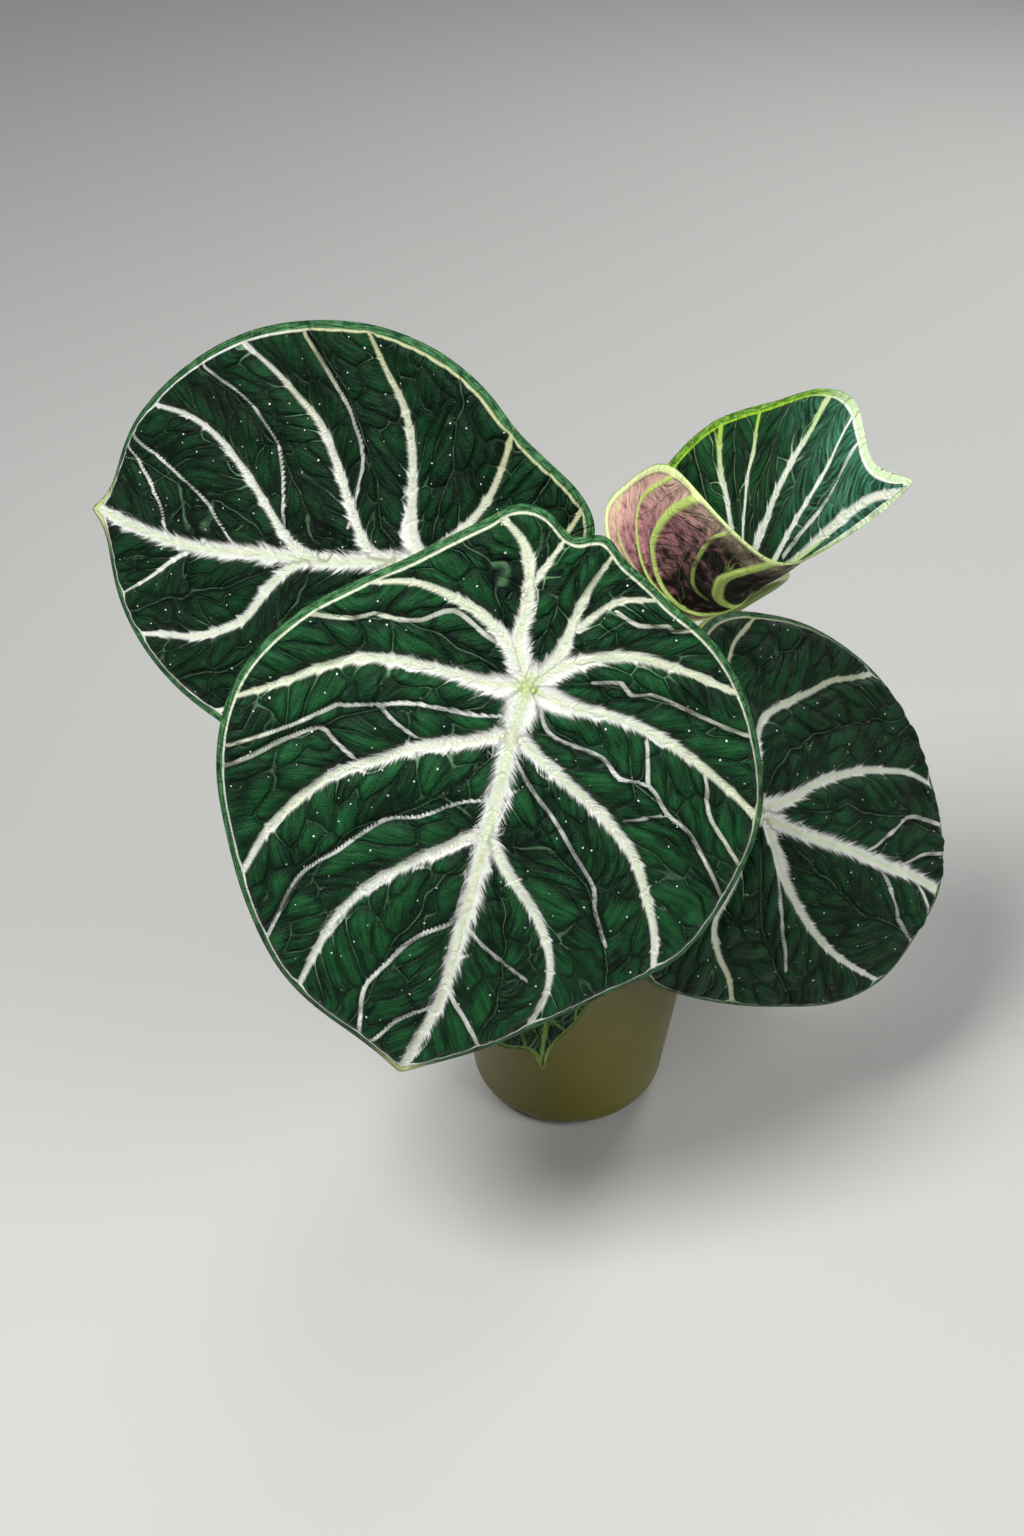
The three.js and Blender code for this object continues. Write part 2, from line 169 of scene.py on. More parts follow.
# Leaves, placed as in the solids: hub of the stalk, turns in degrees, bend of the midrib before and
# behind the hub in radians per millimetre, length and width in degrees of the drip tip, and for the
# right and the left half its outline, lift, cup and change of cup along it. Then its veins, factors on
# the size of its pattern and on its swellings, the points along a side of its grid, how far inside the
# margin its rim vein runs, and the seed of its pattern.
LEAVES = {
    "front": dict(
        hub=(-16.7, -76.6, 238.6), turn=(-125.1, -60, -36), bow=-0.0018, back_bow=0, tip=(6, 3.5),
        right=((124, 122, 119, 113, 106, 101, 99, 90, 82, 71, 62, 54, 47, 45, 45, 48, 44), 0, -0.0022, 0),
        left=((124, 123, 121, 119, 115, 107, 98, 91, 82, 69, 57, 50, 48, 49, 52, 50, 44), 0, -0.0022, 0),
        veins=FRONT_VEINS, fine=1, swell=1, cells=211, rim=2.3, seed=3,
    ),
    "left": dict(
        hub=(-49, 20, 213.5), turn=(157, -5, -58), bow=-0.001, back_bow=0, tip=(9, 2.6),
        right=((124, 124, 123, 120, 113, 103, 91, 85, 79, 71, 62, 56, 53, 52, 53, 52, 50), 0, 0.002, 0),
        left=((124, 124, 124, 122, 115, 106, 96, 86, 78, 70, 62, 55, 55, 59, 60, 56, 50), 0, 0.006, 0),
        veins=LEFT_VEINS, fine=1, swell=1, cells=211, rim=2.6, seed=11,
    ),
    "right": dict(
        hub=(54, -37.7, 163), turn=(21.2, -39.1, 49.2), bow=-0.0005, back_bow=0, tip=(0, 1),
        right=((106, 106, 105, 103, 99, 95, 88, 78, 70, 64, 61, 58, 51, 46, 42, 40, 38), 0, -0.0032, 0),
        left=((106, 104, 102, 101, 101, 96, 85, 77, 72, 69, 61, 56, 50, 44, 40, 39, 38), 0, -0.0128, 0),
        veins=RIGHT_VEINS, fine=1, swell=1, cells=199, rim=2.2, seed=23,
    ),
    "young": dict(
        hub=(50.7, -24, 237), turn=(-66.4, 47.4, 93.6), bow=-0.00076, back_bow=0.0202, tip=(19, 3.6),
        right=(
            (86, 84, 82, 80, 77, 73, 66, 56, 52, 51, 50, 49, 45, 38, 33, 29, 26), -0.29, 0.0042, -0.00029),
        left=((86, 68, 54, 48, 49, 55, 60, 63, 64, 65, 67, 68, 50, 28, 18, 20, 26), 1.83, 0.0293, 0),
        veins=YOUNG_VEINS, fine=1, swell=0.35, cells=211, rim=2.4, seed=31,
    ),
    "small": dict(
        hub=(-15, -52, 126.5), turn=(-73, -66, -8), bow=-0.004, back_bow=0, tip=(10, 2.6),
        right=((49, 49, 48, 47, 44, 41, 38, 36, 32, 27, 23, 20, 18, 18, 18, 17, 16), 0, -0.006, 0),
        left=((49, 49, 48, 48, 46, 42, 39, 37, 33, 28, 24, 21, 18, 18, 18, 17, 16), 0, -0.006, 0),
        veins=SMALL_VEINS, fine=0.45, swell=0.45, cells=111, rim=1.2, seed=41,
    ),
}
# How far from the midrib a half gains its lift, and the degrees over which a drip tip is round
LIFT_WIDTH = 6.0
TIP_ROUND = 0.5
# Turns in degrees over which an outline is blurred, and the weight of each
OUTLINE_BLUR = ((-4, 0.1), (-2, 0.24), (0, 0.32), (2, 0.24), (4, 0.1))
# How far the folds and hairs lean to a vein's end for each millimetre away from it
FOLD_LEAN = 1.05
# The radius at which an angle is measured as a way round the margin
MARGIN_RADIUS = 80
# Added to the place along a vein for each vein, so that the patterns of two never match
VEIN_SHIFT = 40
# Relief of a blade, as shares of the quilting: the tissue between two veins, its cells, its halves and
# its unevenness, and the furrow of a thin vein. Then a rib as a share of its vein's half-width, and how
# much of it shows on the underside.
TISSUE_RISE = 1.3
CELL_RISE = 1.1
HALF_RISE = 0.9
UNEVEN_RISE = 0.4
THIN_FURROW = 0.8
RIB_RISE = 0.8
RIB_UNDER = 0.45

# Stalks: angle on the crown, radius at the foot and at the top, and the points between
STALKS = {
    "front": (285, 4.0, 2.4, ((3, -14, 130), (0, -28, 185), (-9, -56, 224))),
    "left": (150, 3.8, 2.3, ((-13, 12, 120), (-28, 29, 170), (-43, 36, 200))),
    "right": (350, 3.6, 2.2, ((14, -4, 105), (28, -12, 135), (42, -24, 153))),
    "young": (60, 3.4, 2.0, ((14, 20, 120), (40, 33, 172), (66, 18, 210))),
    "small": (230, 2.8, 1.6, ((-8, -16, 103), (-12, -34, 120))),
}
STALK_CIRCLE = 8.6
STALK_SIDES = 32
# The groove's depth as a share of the radius, and its width in radians
GROOVE_DEPTH = 0.10
GROOVE_WIDTH = 0.45
# How much a stalk swells at its foot and under its blade, and how fast each swelling ends
FOOT_SWELLING, FOOT_REACH = 0.9, 5
TOP_SWELLING, TOP_REACH = 0.5, 3

# Rootstock: its ends, and heights with the radius at each
ROOTSTOCK_BOTTOM = 56
ROOTSTOCK_TOP = 79
ROOTSTOCK_SHAPE = (
    (ROOTSTOCK_BOTTOM, 57, 61, 68, 75, 78, ROOTSTOCK_TOP), (6.9, 8, 11.5, 12.5, 12.5, 12.1, 11.2))

# Soil bed: the level at the sheaths, its inner and outer edge, and radii with the height at each. Its
# outline runs from below up the wall of the pot, and ends in the hollow that holds the rootstock.
SOIL_TOP = 73
SOIL_INNER = 12.9
SOIL_OUTER = 40.9
SOIL_SHAPE = ((SOIL_INNER, 16.8, 33, SOIL_OUTER), (73.2, 74.2, 73, 71.8))
SOIL_WALL = ((0, 4.4), (31.6, 4.4), (35, 8.5), (40.7, 69))
SOIL_HOLLOW = ((12.8, 70), (12.8, 60), (8, 55.6), (0, 55.6))
# Radii between which the loose crumbs lie, and how far their middles stand above the bed
CRUMB_RING = (18.5, 38.5)
CRUMB_RISE = 0.4

# Pot: thickness of its wall and floor, the rounding of its lower edge, of its lip and of the corner
# inside, the ring of the floor that is drilled, and the drain holes with the circle that they lie on
POT_WALL = 3.0
POT_FLOOR = 4
POT_EDGE = 8.0
POT_LIP = 1.6
POT_CORNER = 3.6
DRILLED_RING = (11, 20)
DRAIN_HOLES = 3
DRAIN_RADIUS = 3.5
DRAIN_CIRCLE = 16

# Sheaths: angle round the crown, height, and lean outwards in degrees
SHEATHS = {
    "outer_sheath": (318, 34, 9),
    "side_sheath": (20, 30, 12),
    "rear_sheath": (105, 38, 7),
    "old_sheath": (190, 26, 16),
}
SHEATH_CIRCLE = 14.6
SHEATH_CURL_RADIUS = 12.0
SHEATH_HALF_WIDTH = 6.6
SHEATH_SKINS = (0.22, -0.22)
# How far a sheath's foot is sunk, how far its tip bends out, and how high above the soil its foot is set
SHEATH_SUNK = 2.2
SHEATH_BEND = 2.2
SHEATH_RISE = 2.4

# Stage, in metres: half the floor's side, where each light stands, its width and its share of the key
# light's power, the point that all lights aim at, and the camera with its tilt in degrees
FLOOR_HALF_SIDE = 6
LIGHTS = {
    "key": ((-0.4, -0.42, 1.15), 0.4, 1.0),
    "fill": ((0.8, -0.65, 0.9), 0.8, 0.5),
    "back": ((0.5, 0.9, 0.7), 0.5, 0.3),
}
LIGHT_AIM = (0.0, -0.04, 0.18)
SKY_STRENGTH = 0.2
CAMERA_PLACE = (-0.020934, -0.550832, 0.606792)
CAMERA_TILT = 50
CAMERA_LENS = 50
SENSOR_HEIGHT = 36

# Settings of a node that mixes colours, with its colour output, and of one with smooth ends
COLOURS = {"data_type": "RGBA", "out": 2}
SMOOTH = {"interpolation_type": "SMOOTHSTEP"}


def linear(code):
    """An sRGB hex colour such as #336699 as linear red, green, blue and alpha."""
    channels = [int(code[place:place + 2], 16) / 255 for place in (1, 3, 5)]
    return tuple(c / 12.92 if c <= 0.04045 else ((c + 0.055) / 1.055) ** 2.4 for c in channels) + (1.0,)


def solid(colour, factor=1.0):
    """A setting's linear red, green and blue, each times a factor, with an alpha of 1."""
    return tuple(factor * channel for channel in colour) + (1.0,)


def add(tree, kind, sockets=(), out=0, **settings):
    """Adds a shader node, applies its settings, fills or links its sockets, which are given by key or
    in their order, and returns one of its outputs."""
    node = tree.nodes.new("ShaderNode" + kind)
    for name, value in settings.items():
        setattr(node, name, value)
    for key, value in sockets.items() if isinstance(sockets, dict) else enumerate(sockets):
        if isinstance(value, bpy.types.NodeSocket):
            tree.links.new(value, node.inputs[key])
        else:
            node.inputs[key].default_value = value
    return node if out is None else node.outputs[out]


def new_material(name, **sockets):
    """A material with a bare principled shader whose sockets get the given constants."""
    material = bpy.data.materials.new(name)
    material.use_nodes = True
    tree = material.node_tree
    tree.nodes.clear()
    shader = add(tree, "BsdfPrincipled", sockets, out=None)
    add(tree, "OutputMaterial", {"Surface": shader.outputs[0]}, out=None)
    return material, tree, shader


def two_tones(tree, pattern, low, high, dark, light):
    """A colour that goes from dark to light as a pattern rises from low to high."""
    tone = add(tree, "MapRange", (pattern, low, high, 0.0, 1.0))
    return add(tree, "Mix", {0: tone, 6: dark, 7: light}, **COLOURS)


def layered(tree, colour, layers):
    """A colour with others laid over it in turn, each by its share from 0 to 1."""
    for share, above in layers:
        colour = add(tree, "Mix", {0: share, 6: colour, 7: above}, **COLOURS)
    return colour


def dress(tree, shader, colour, height, strength, distance):
    """Gives the shader a colour and a bump, whose height of 1 is a distance in millimetres."""
    bump = add(tree, "Bump", {"Height": height, "Strength": strength, "Distance": distance * MM})
    tree.links.new(colour, shader.inputs["Base Color"])
    tree.links.new(bump, shader.inputs["Normal"])


def lattice(i, j, seed):
    """A repeatable number from 0 to 1 for each pair of whole numbers: the fraction of a large sine."""
    value = np.sin(i * 127.1 + j * 311.7 + seed * 74.7) * 43758.5453
    return value - np.floor(value)


def soft_noise(x, y, seed, octaves=1):
    """Random lattice numbers blended by a smooth step, from -1 to 1, each octave half as high and twice
    as fine."""
    total = np.zeros(np.broadcast(x, y).shape)
    for octave in range(octaves):
        p, q = np.asarray(x) * 2**octave, np.asarray(y) * 2**octave
        i, j = np.floor(p), np.floor(q)
        p, q = p - i, q - j
        p, q = p * p * (3 - 2 * p), q * q * (3 - 2 * q)
        low = lattice(i, j, seed + octave) * (1 - p) + lattice(i + 1, j, seed + octave) * p
        high = lattice(i, j + 1, seed + octave) * (1 - p) + lattice(i + 1, j + 1, seed + octave) * p
        total += (2 * (low * (1 - q) + high * q) - 1) * 0.5**octave
    return total


def smooth_step(low, high, x):
    """Zero below low, one above high, with a smooth cubic between."""
    t = np.clip((x - low) / (high - low), 0, 1)
    return t * t * (3 - 2 * t)


def smooth_curve(points, spacing):
    """Points about so far apart on the Catmull-Rom curve through the given points: a cubic between each
    two whose slopes come from their neighbours."""
    knots = np.asarray(points, float)
    knots = np.vstack([2 * knots[0] - knots[1], knots, 2 * knots[-1] - knots[-2]])
    pieces = []
    for a, b, c, d in zip(knots[:-3], knots[1:-2], knots[2:-1], knots[3:]):
        count = max(2, int(np.linalg.norm(c - b) / spacing))
        t = np.linspace(0, 1, count, endpoint=False)[:, None]
        square, cube = 2 * a - 5 * b + 4 * c - d, 3 * b - a - 3 * c + d
        pieces.append(0.5 * (2 * b + (c - a) * t + square * t**2 + cube * t**3))
    return np.vstack(pieces + [knots[-2][None]])


def make_piece(name, points, faces, material, replaced=(), attributes=None):
    """One mesh object from points in millimetres and quads or triangles, with smooth faces, which rides
    on the root and stands for the CAD nodes that it replaces. Attributes are vectors, one for each
    point."""
    faces = [np.asarray(group, np.int32) for group in faces if len(group)]
    if not faces or not np.isfinite(points).all():
        raise ValueError(f"{name} has no faces, or a point that is not a number")
    mesh = bpy.data.meshes.new(name)
    points = np.asarray(points, np.float32) * MM
    sizes = np.concatenate([np.full(len(group), group.shape[1], np.int32) for group in faces])
    corners = np.concatenate([group.ravel() for group in faces])
    mesh.vertices.add(len(points))
    mesh.vertices.foreach_set("co", points.ravel())
    mesh.loops.add(len(corners))
    mesh.loops.foreach_set("vertex_index", corners)
    mesh.polygons.add(len(sizes))
    mesh.polygons.foreach_set("loop_start", np.concatenate([[0], np.cumsum(sizes)[:-1]]).astype(np.int32))
    mesh.polygons.foreach_set("use_smooth", np.ones(len(sizes), bool))
    for key, values in (attributes or {}).items():
        layer = mesh.attributes.new(key, "FLOAT_VECTOR", "POINT")
        layer.data.foreach_set("vector", np.asarray(values, np.float32).ravel())
    mesh.update(calc_edges=True)
    mesh.validate()
    mesh.materials.append(material)
    piece = bpy.data.objects.new(name, mesh)
    bpy.context.collection.objects.link(piece)
    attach(piece, "root")
    if replaced:
        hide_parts(*replaced)
    return piece


def tube_faces(rings, sides):
    """Quads between neighbouring rings of points, each ring closed on itself, and fans on a last point
    at each end."""
    ring = np.arange(rings - 1)[:, None] * sides
    side = np.arange(sides)[None, :]
    after = (side + 1) % sides
    quads = np.stack([ring + side, ring + after, ring + sides + after, ring + sides + side], -1)
    quads = quads.reshape(-1, 4)
    last = (rings - 1) * sides
    start = np.stack([side[0] * 0 + rings * sides, after[0], side[0]], -1)
    end = np.stack([side[0] * 0 + rings * sides + 1, last + side[0], last + after[0]], -1)
    return quads, np.vstack([start, end])


def turned_body(outline, sides, wobble=None):
    """A body of revolution about Z: radius and height run along the outline, which starts and ends on
    the axis. The wobble adds to the radius as a function of turn and height."""
    outline = np.asarray(outline, float)
    turn = np.linspace(0, 2 * np.pi, sides, endpoint=False)[None, :]
    radius = outline[1:-1, 0][:, None] + np.zeros_like(turn)
    height = outline[1:-1, 1][:, None] + np.zeros_like(turn)
    if wobble is not None:
        radius = radius + wobble(turn, height)
    body = np.stack([radius * np.cos(turn), radius * np.sin(turn), height], -1).reshape(-1, 3)
    ends = np.array([[0, 0, outline[0, 1]], [0, 0, outline[-1, 1]]])
    return np.vstack([body, ends]), tube_faces(len(outline) - 2, sides)


def walk(length, angle_at, steps=24):
    """Where a walk of a given length ends, forward and sideways: the sums of the cosine and the sine of
    its direction, which is a function of the distance walked."""
    forward, sideways = np.zeros_like(length), np.zeros_like(length)
    for step in range(steps):
        angle = angle_at(length * (step + 0.5) / steps)
        forward += np.cos(angle) * length / steps
        sideways += np.sin(angle) * length / steps
    return forward, sideways


def leaf_axes(leaf):
    """The blade's directions to the tip, to the right half and out of the upper face, as three rows."""
    heading, rise, roll = np.radians(leaf["turn"])
    tip = np.array([np.cos(heading) * np.cos(rise), np.sin(heading) * np.cos(rise), np.sin(rise)])
    side = np.array([-np.sin(heading), np.cos(heading), 0])
    face = np.cross(tip, side)
    return np.array([
        tip, np.cos(roll) * side + np.sin(roll) * face, np.cos(roll) * face - np.sin(roll) * side])


def blade_point(leaf, along, across):
    """The blade's middle surface: an arc along the midrib, and from it an arc out to each side whose
    curvature changes along the leaf, turned with the midrib."""
    bow = np.where(along >= 0, leaf["bow"], leaf["back_bow"])
    forward, up = walk(along, lambda distance: bow * distance)
    turn = bow * along
    right = across >= 0
    lift, cup, change = (np.where(right, leaf["right"][k], leaf["left"][k]) for k in (1, 2, 3))
    bend = cup + change * along
    out, rise = walk(
        np.abs(across), lambda distance: lift * (1 - np.exp(-distance / LIFT_WIDTH)) + bend * distance)
    local = np.stack([forward - rise * np.sin(turn), np.sign(across) * out, up + rise * np.cos(turn)], -1)
    return np.array(leaf["hub"]) + local @ leaf_axes(leaf)


def blade_normal(leaf, along, across, reach=0.4):
    """The upper face's direction: the cross product of the slopes along and across the midrib."""
    forward = blade_point(leaf, along + reach, across) - blade_point(leaf, along - reach, across)
    sideways = blade_point(leaf, along, across + reach) - blade_point(leaf, along, across - reach)
    normal = np.cross(forward, sideways)
    return normal / np.linalg.norm(normal, axis=-1, keepdims=True)


def margin_distance(leaf, angle):
    """Distance from the stalk to the margin: a cubic through each half's outline, blurred over a few
    degrees, and a rounded spike at the tip that falls by e for each width."""
    knots = np.array(OUTLINE_ANGLES, float)
    reach = np.zeros_like(angle)
    for offset, weight in OUTLINE_BLUR:
        turned = np.degrees(angle) + offset
        turned = (turned + 180) % 360 - 180
        degrees = np.abs(turned)
        index = np.clip(np.searchsorted(knots, degrees) - 1, 0, len(knots) - 2)
        span = knots[index + 1] - knots[index]
        t = (degrees - knots[index]) / span
        blend = t * t * (3 - 2 * t)
        for half, chosen in (("right", turned >= 0), ("left", turned < 0)):
            radii = np.array(leaf[half][0], float)
            slopes = np.zeros_like(radii)
            slopes[1:-1] = (radii[2:] - radii[:-2]) / (knots[2:] - knots[:-2])
            bend = t * (1 - t) * span * ((1 - t) * slopes[index] - t * slopes[index + 1])
            value = radii[index] * (1 - blend) + radii[index + 1] * blend + bend
            reach += weight * np.where(chosen, value, 0)
    length, width = leaf["tip"]
    off_tip = np.hypot(np.degrees(angle), TIP_ROUND) - TIP_ROUND
    return reach + length * np.exp(-off_tip / width)


def vein_path(leaf, points, spacing=2.5, farthest=14, overlap=0.4):
    """A vein's points on a smooth curve, carried straight on from its end until it meets the rim, which
    it overlaps a little, when the rim lies within the farthest reach ahead; else it ends where it is."""
    path = smooth_curve(points, spacing)
    step = path[-1] - path[-3]
    step /= np.linalg.norm(step)
    ahead = path[-1] + np.linspace(0.5, farthest, 28)[:, None] * step
    along, across = ahead.T
    room = margin_distance(leaf, np.arctan2(across, along)) - np.hypot(along, across)
    inside = np.minimum.accumulate(room > leaf["rim"] - overlap)
    return path if inside.all() else np.vstack([path, ahead[inside]])


def path_field(path, along, across):
    """For each point, the distance to the nearest place on a path, how far along the path that place
    is, and the side of the path that the point lies on, as 1 or -1."""
    steps = np.diff(path, axis=0)
    lengths = np.hypot(steps[:, 0], steps[:, 1])
    near = np.full(along.shape, 1e9)
    place, side = np.zeros_like(along), np.ones_like(along)
    for (x, y), (dx, dy), length, begin in zip(path[:-1], steps, lengths, np.cumsum(lengths) - lengths):
        t = np.clip(((along - x) * dx + (across - y) * dy) / length**2, 0, 1)
        gap = np.hypot(along - x - t * dx, across - y - t * dy)
        closer = gap < near
        near = np.where(closer, gap, near)
        place = np.where(closer, begin + t * length, place)
        side = np.where(closer, np.sign((along - x) * dy - (across - y) * dx), side)
    return near, place, side, lengths.sum()


def vein_field(leaf, along, across):
    """For each point, the nearest main vein by distance to its edge: distance to its middle, place
    along it and half-width there; half the lead over the next vein, signed so that it changes sign
    between neighbours; and the vein's number."""
    first = np.full(along.shape, 1e9)
    second = np.full(along.shape, 1e9)
    away, place, width, sign, index = (np.zeros_like(along) for _ in range(5))
    broad = [vein for vein in leaf["veins"] if vein[0] > THIN_VEIN * leaf["fine"]]
    for number, (start, end, points) in enumerate(broad):
        near, near_place, _, length = path_field(vein_path(leaf, points), along, across)
        half = end + (start - end) * np.maximum(1 - near_place / length, 0) ** 0.8
        edge = near - half
        leads = edge < first
        second = np.where(leads, first, np.minimum(second, edge))
        first = np.where(leads, edge, first)
        for target, value in ((away, near), (place, near_place), (width, half)):
            target[leads] = value[leads]
        sign[leads] = 1 if number % 2 == 0 else -1
        index[leads] = number
    return away, place, width, sign * (second - first) / 2, index


def thin_field(leaf, along, across):
    """For each point, the distance to the nearest thin vein, signed by the side of it, then without the
    sign, and the vein's half-width there, which is a little over half of what its list gives."""
    nearest, side, width = np.full(along.shape, 1e3), np.ones_like(along), np.zeros_like(along)
    for start, end, points in leaf["veins"]:
        if start <= THIN_VEIN * leaf["fine"]:
            near, place, near_side, length = path_field(vein_path(leaf, points), along, across)
            closer = near < nearest
            nearest = np.where(closer, near, nearest)
            side = np.where(closer, near_side, side)
            width = np.where(closer, 0.55 * (start + (end - start) * place / length), width)
    return side * nearest, nearest, width


def cell_field(x, y, size, seed):
    """Distance to the border of the nearest of many scattered cells, twice, signed by the column and by
    the row of the cell, so that one of the two always passes through zero on a border. Size is a cell's
    width and height."""
    column, row = np.floor(x), np.floor(y)
    first, second = np.full(x.shape, 1e9), np.full(x.shape, 1e9)
    odd_column, odd_row = np.zeros(x.shape), np.zeros(x.shape)
    for step_x in (-2, -1, 0, 1, 2):
        for step_y in (-1, 0, 1):
            i, j = column + step_x, row + step_y
            gap = np.hypot(
                (x - i - 0.1 - 0.8 * lattice(i, j, seed)) * size[0],
                (y - j - 0.1 - 0.8 * lattice(i, j, seed + 19)) * size[1])
            leads = gap < first
            second = np.where(leads, first, np.minimum(second, gap))
            first = np.where(leads, gap, first)
            odd_column = np.where(leads, i % 2, odd_column)
            odd_row = np.where(leads, j % 2, odd_row)
    edge = (second - first) / 2
    return np.where(odd_column > 0, edge, -edge), np.where(odd_row > 0, edge, -edge), edge


def leaf_blade(name, leaf, settings, material):
    """A closed leaf: a square grid pressed into a disc and the disc into the outline, twice, joined at
    the margin. The tissue arches up between veins and swells in small cells; the underside follows it
    with raised veins."""
    count = leaf["cells"]
    line = np.linspace(-1, 1, count)
    a, b = np.meshgrid(line, line, indexing="ij")
    x, y = a * np.sqrt(1 - b * b / 2), b * np.sqrt(1 - a * a / 2)
    share, angle = np.hypot(x, y), np.arctan2(y, x)
    margin = margin_distance(leaf, angle)
    slope = (margin_distance(leaf, angle + 0.01) - margin_distance(leaf, angle - 0.01)) / 0.02
    along, across = share * margin * np.cos(angle), share * margin * np.sin(angle)
    edge = (1 - share) * margin**2 / np.hypot(margin, slope)
    round_margin = np.abs(angle) * MARGIN_RADIUS
    away, place, width, middle, number = vein_field(leaf, along, across)
    thin, thin_away, thin_width = thin_field(leaf, along, across)
    side = np.sign(across + 1e-6)
    seed = leaf["seed"]
    warp = soft_noise(along / 14, across / 14, seed, 2)
    warp_more = soft_noise(along / 11 + 5, across / 11, seed + 7, 2)
    scale = settings.cell_size * leaf["fine"]
    column = (place - FOLD_LEAN * away) / scale + 0.3 * warp + 31 * number + 7 * side
    row = away / (2.5 * scale) + 0.25 * warp_more
    by_column, by_row, cell = cell_field(column, row, (0.8 * scale, 2.5 * scale), seed)
    middle = middle + 1.6 * warp_more
    open_tissue = smooth_step(0.1, 2.5, away - 0.8 * width)
    height = settings.quilting * MM_PER_M * smooth_step(0.5, 5.0, edge) * (
        TISSUE_RISE * (1 - np.exp(-np.maximum(away - 0.7 * width, 0) / 4))
        + open_tissue * (
            CELL_RISE * (1 - np.exp(-cell / 1.7)) + HALF_RISE * (1 - np.exp(-np.abs(middle) / 2))
            + UNEVEN_RISE * warp - THIN_FURROW * np.exp(-((thin_away / 1.6) ** 2))))
    height *= leaf["swell"]
    base = blade_point(leaf, along, across)
    normal = blade_normal(leaf, along, across)
    half = 0.5 * settings.blade_thickness * MM_PER_M * smooth_step(0, 1.2, edge)
    rib = RIB_RISE * np.exp(-((away / (0.6 * width + 0.3)) ** 2)) * width * smooth_step(0.5, 5.0, edge)
    upper = base + normal * (height + half)[..., None]
    lower = base + normal * (height - half - RIB_UNDER * rib)[..., None]
    inside = np.zeros(a.shape, bool)
    inside[1:-1, 1:-1] = True
    top_number = np.arange(count * count).reshape(count, count)
    low_number = top_number.copy()
    low_number[inside] = count * count + np.arange(inside.sum())
    points = np.vstack([upper.reshape(-1, 3), lower[inside]])

    def both(*channels):
        field = np.stack([np.broadcast_to(c, a.shape) for c in channels], -1)
        return np.vstack([field.reshape(-1, 3), field[inside]])

    rim = both(edge, round_margin, np.ones_like(a))
    rim[count * count:, 2] = 0
    fields = {
        "vein": both(away, place + VEIN_SHIFT * number, width),
        "net": both(by_column, by_row, middle),
        "thin": both(thin, thin_away, thin_width),
        "rim": rim,
        "blade": both(along, across, seed + np.zeros_like(a)),
    }
    grids = []
    for grid, step in ((top_number, 1), (low_number, -1)):
        quads = np.stack([grid[:-1, :-1], grid[1:, :-1], grid[1:, 1:], grid[:-1, 1:]], -1).reshape(-1, 4)
        grids.append(quads[:, ::step])
    return make_piece(
        name + "_leaf", points, [np.vstack(grids)], material, (name + "_leaf_blade",), fields)


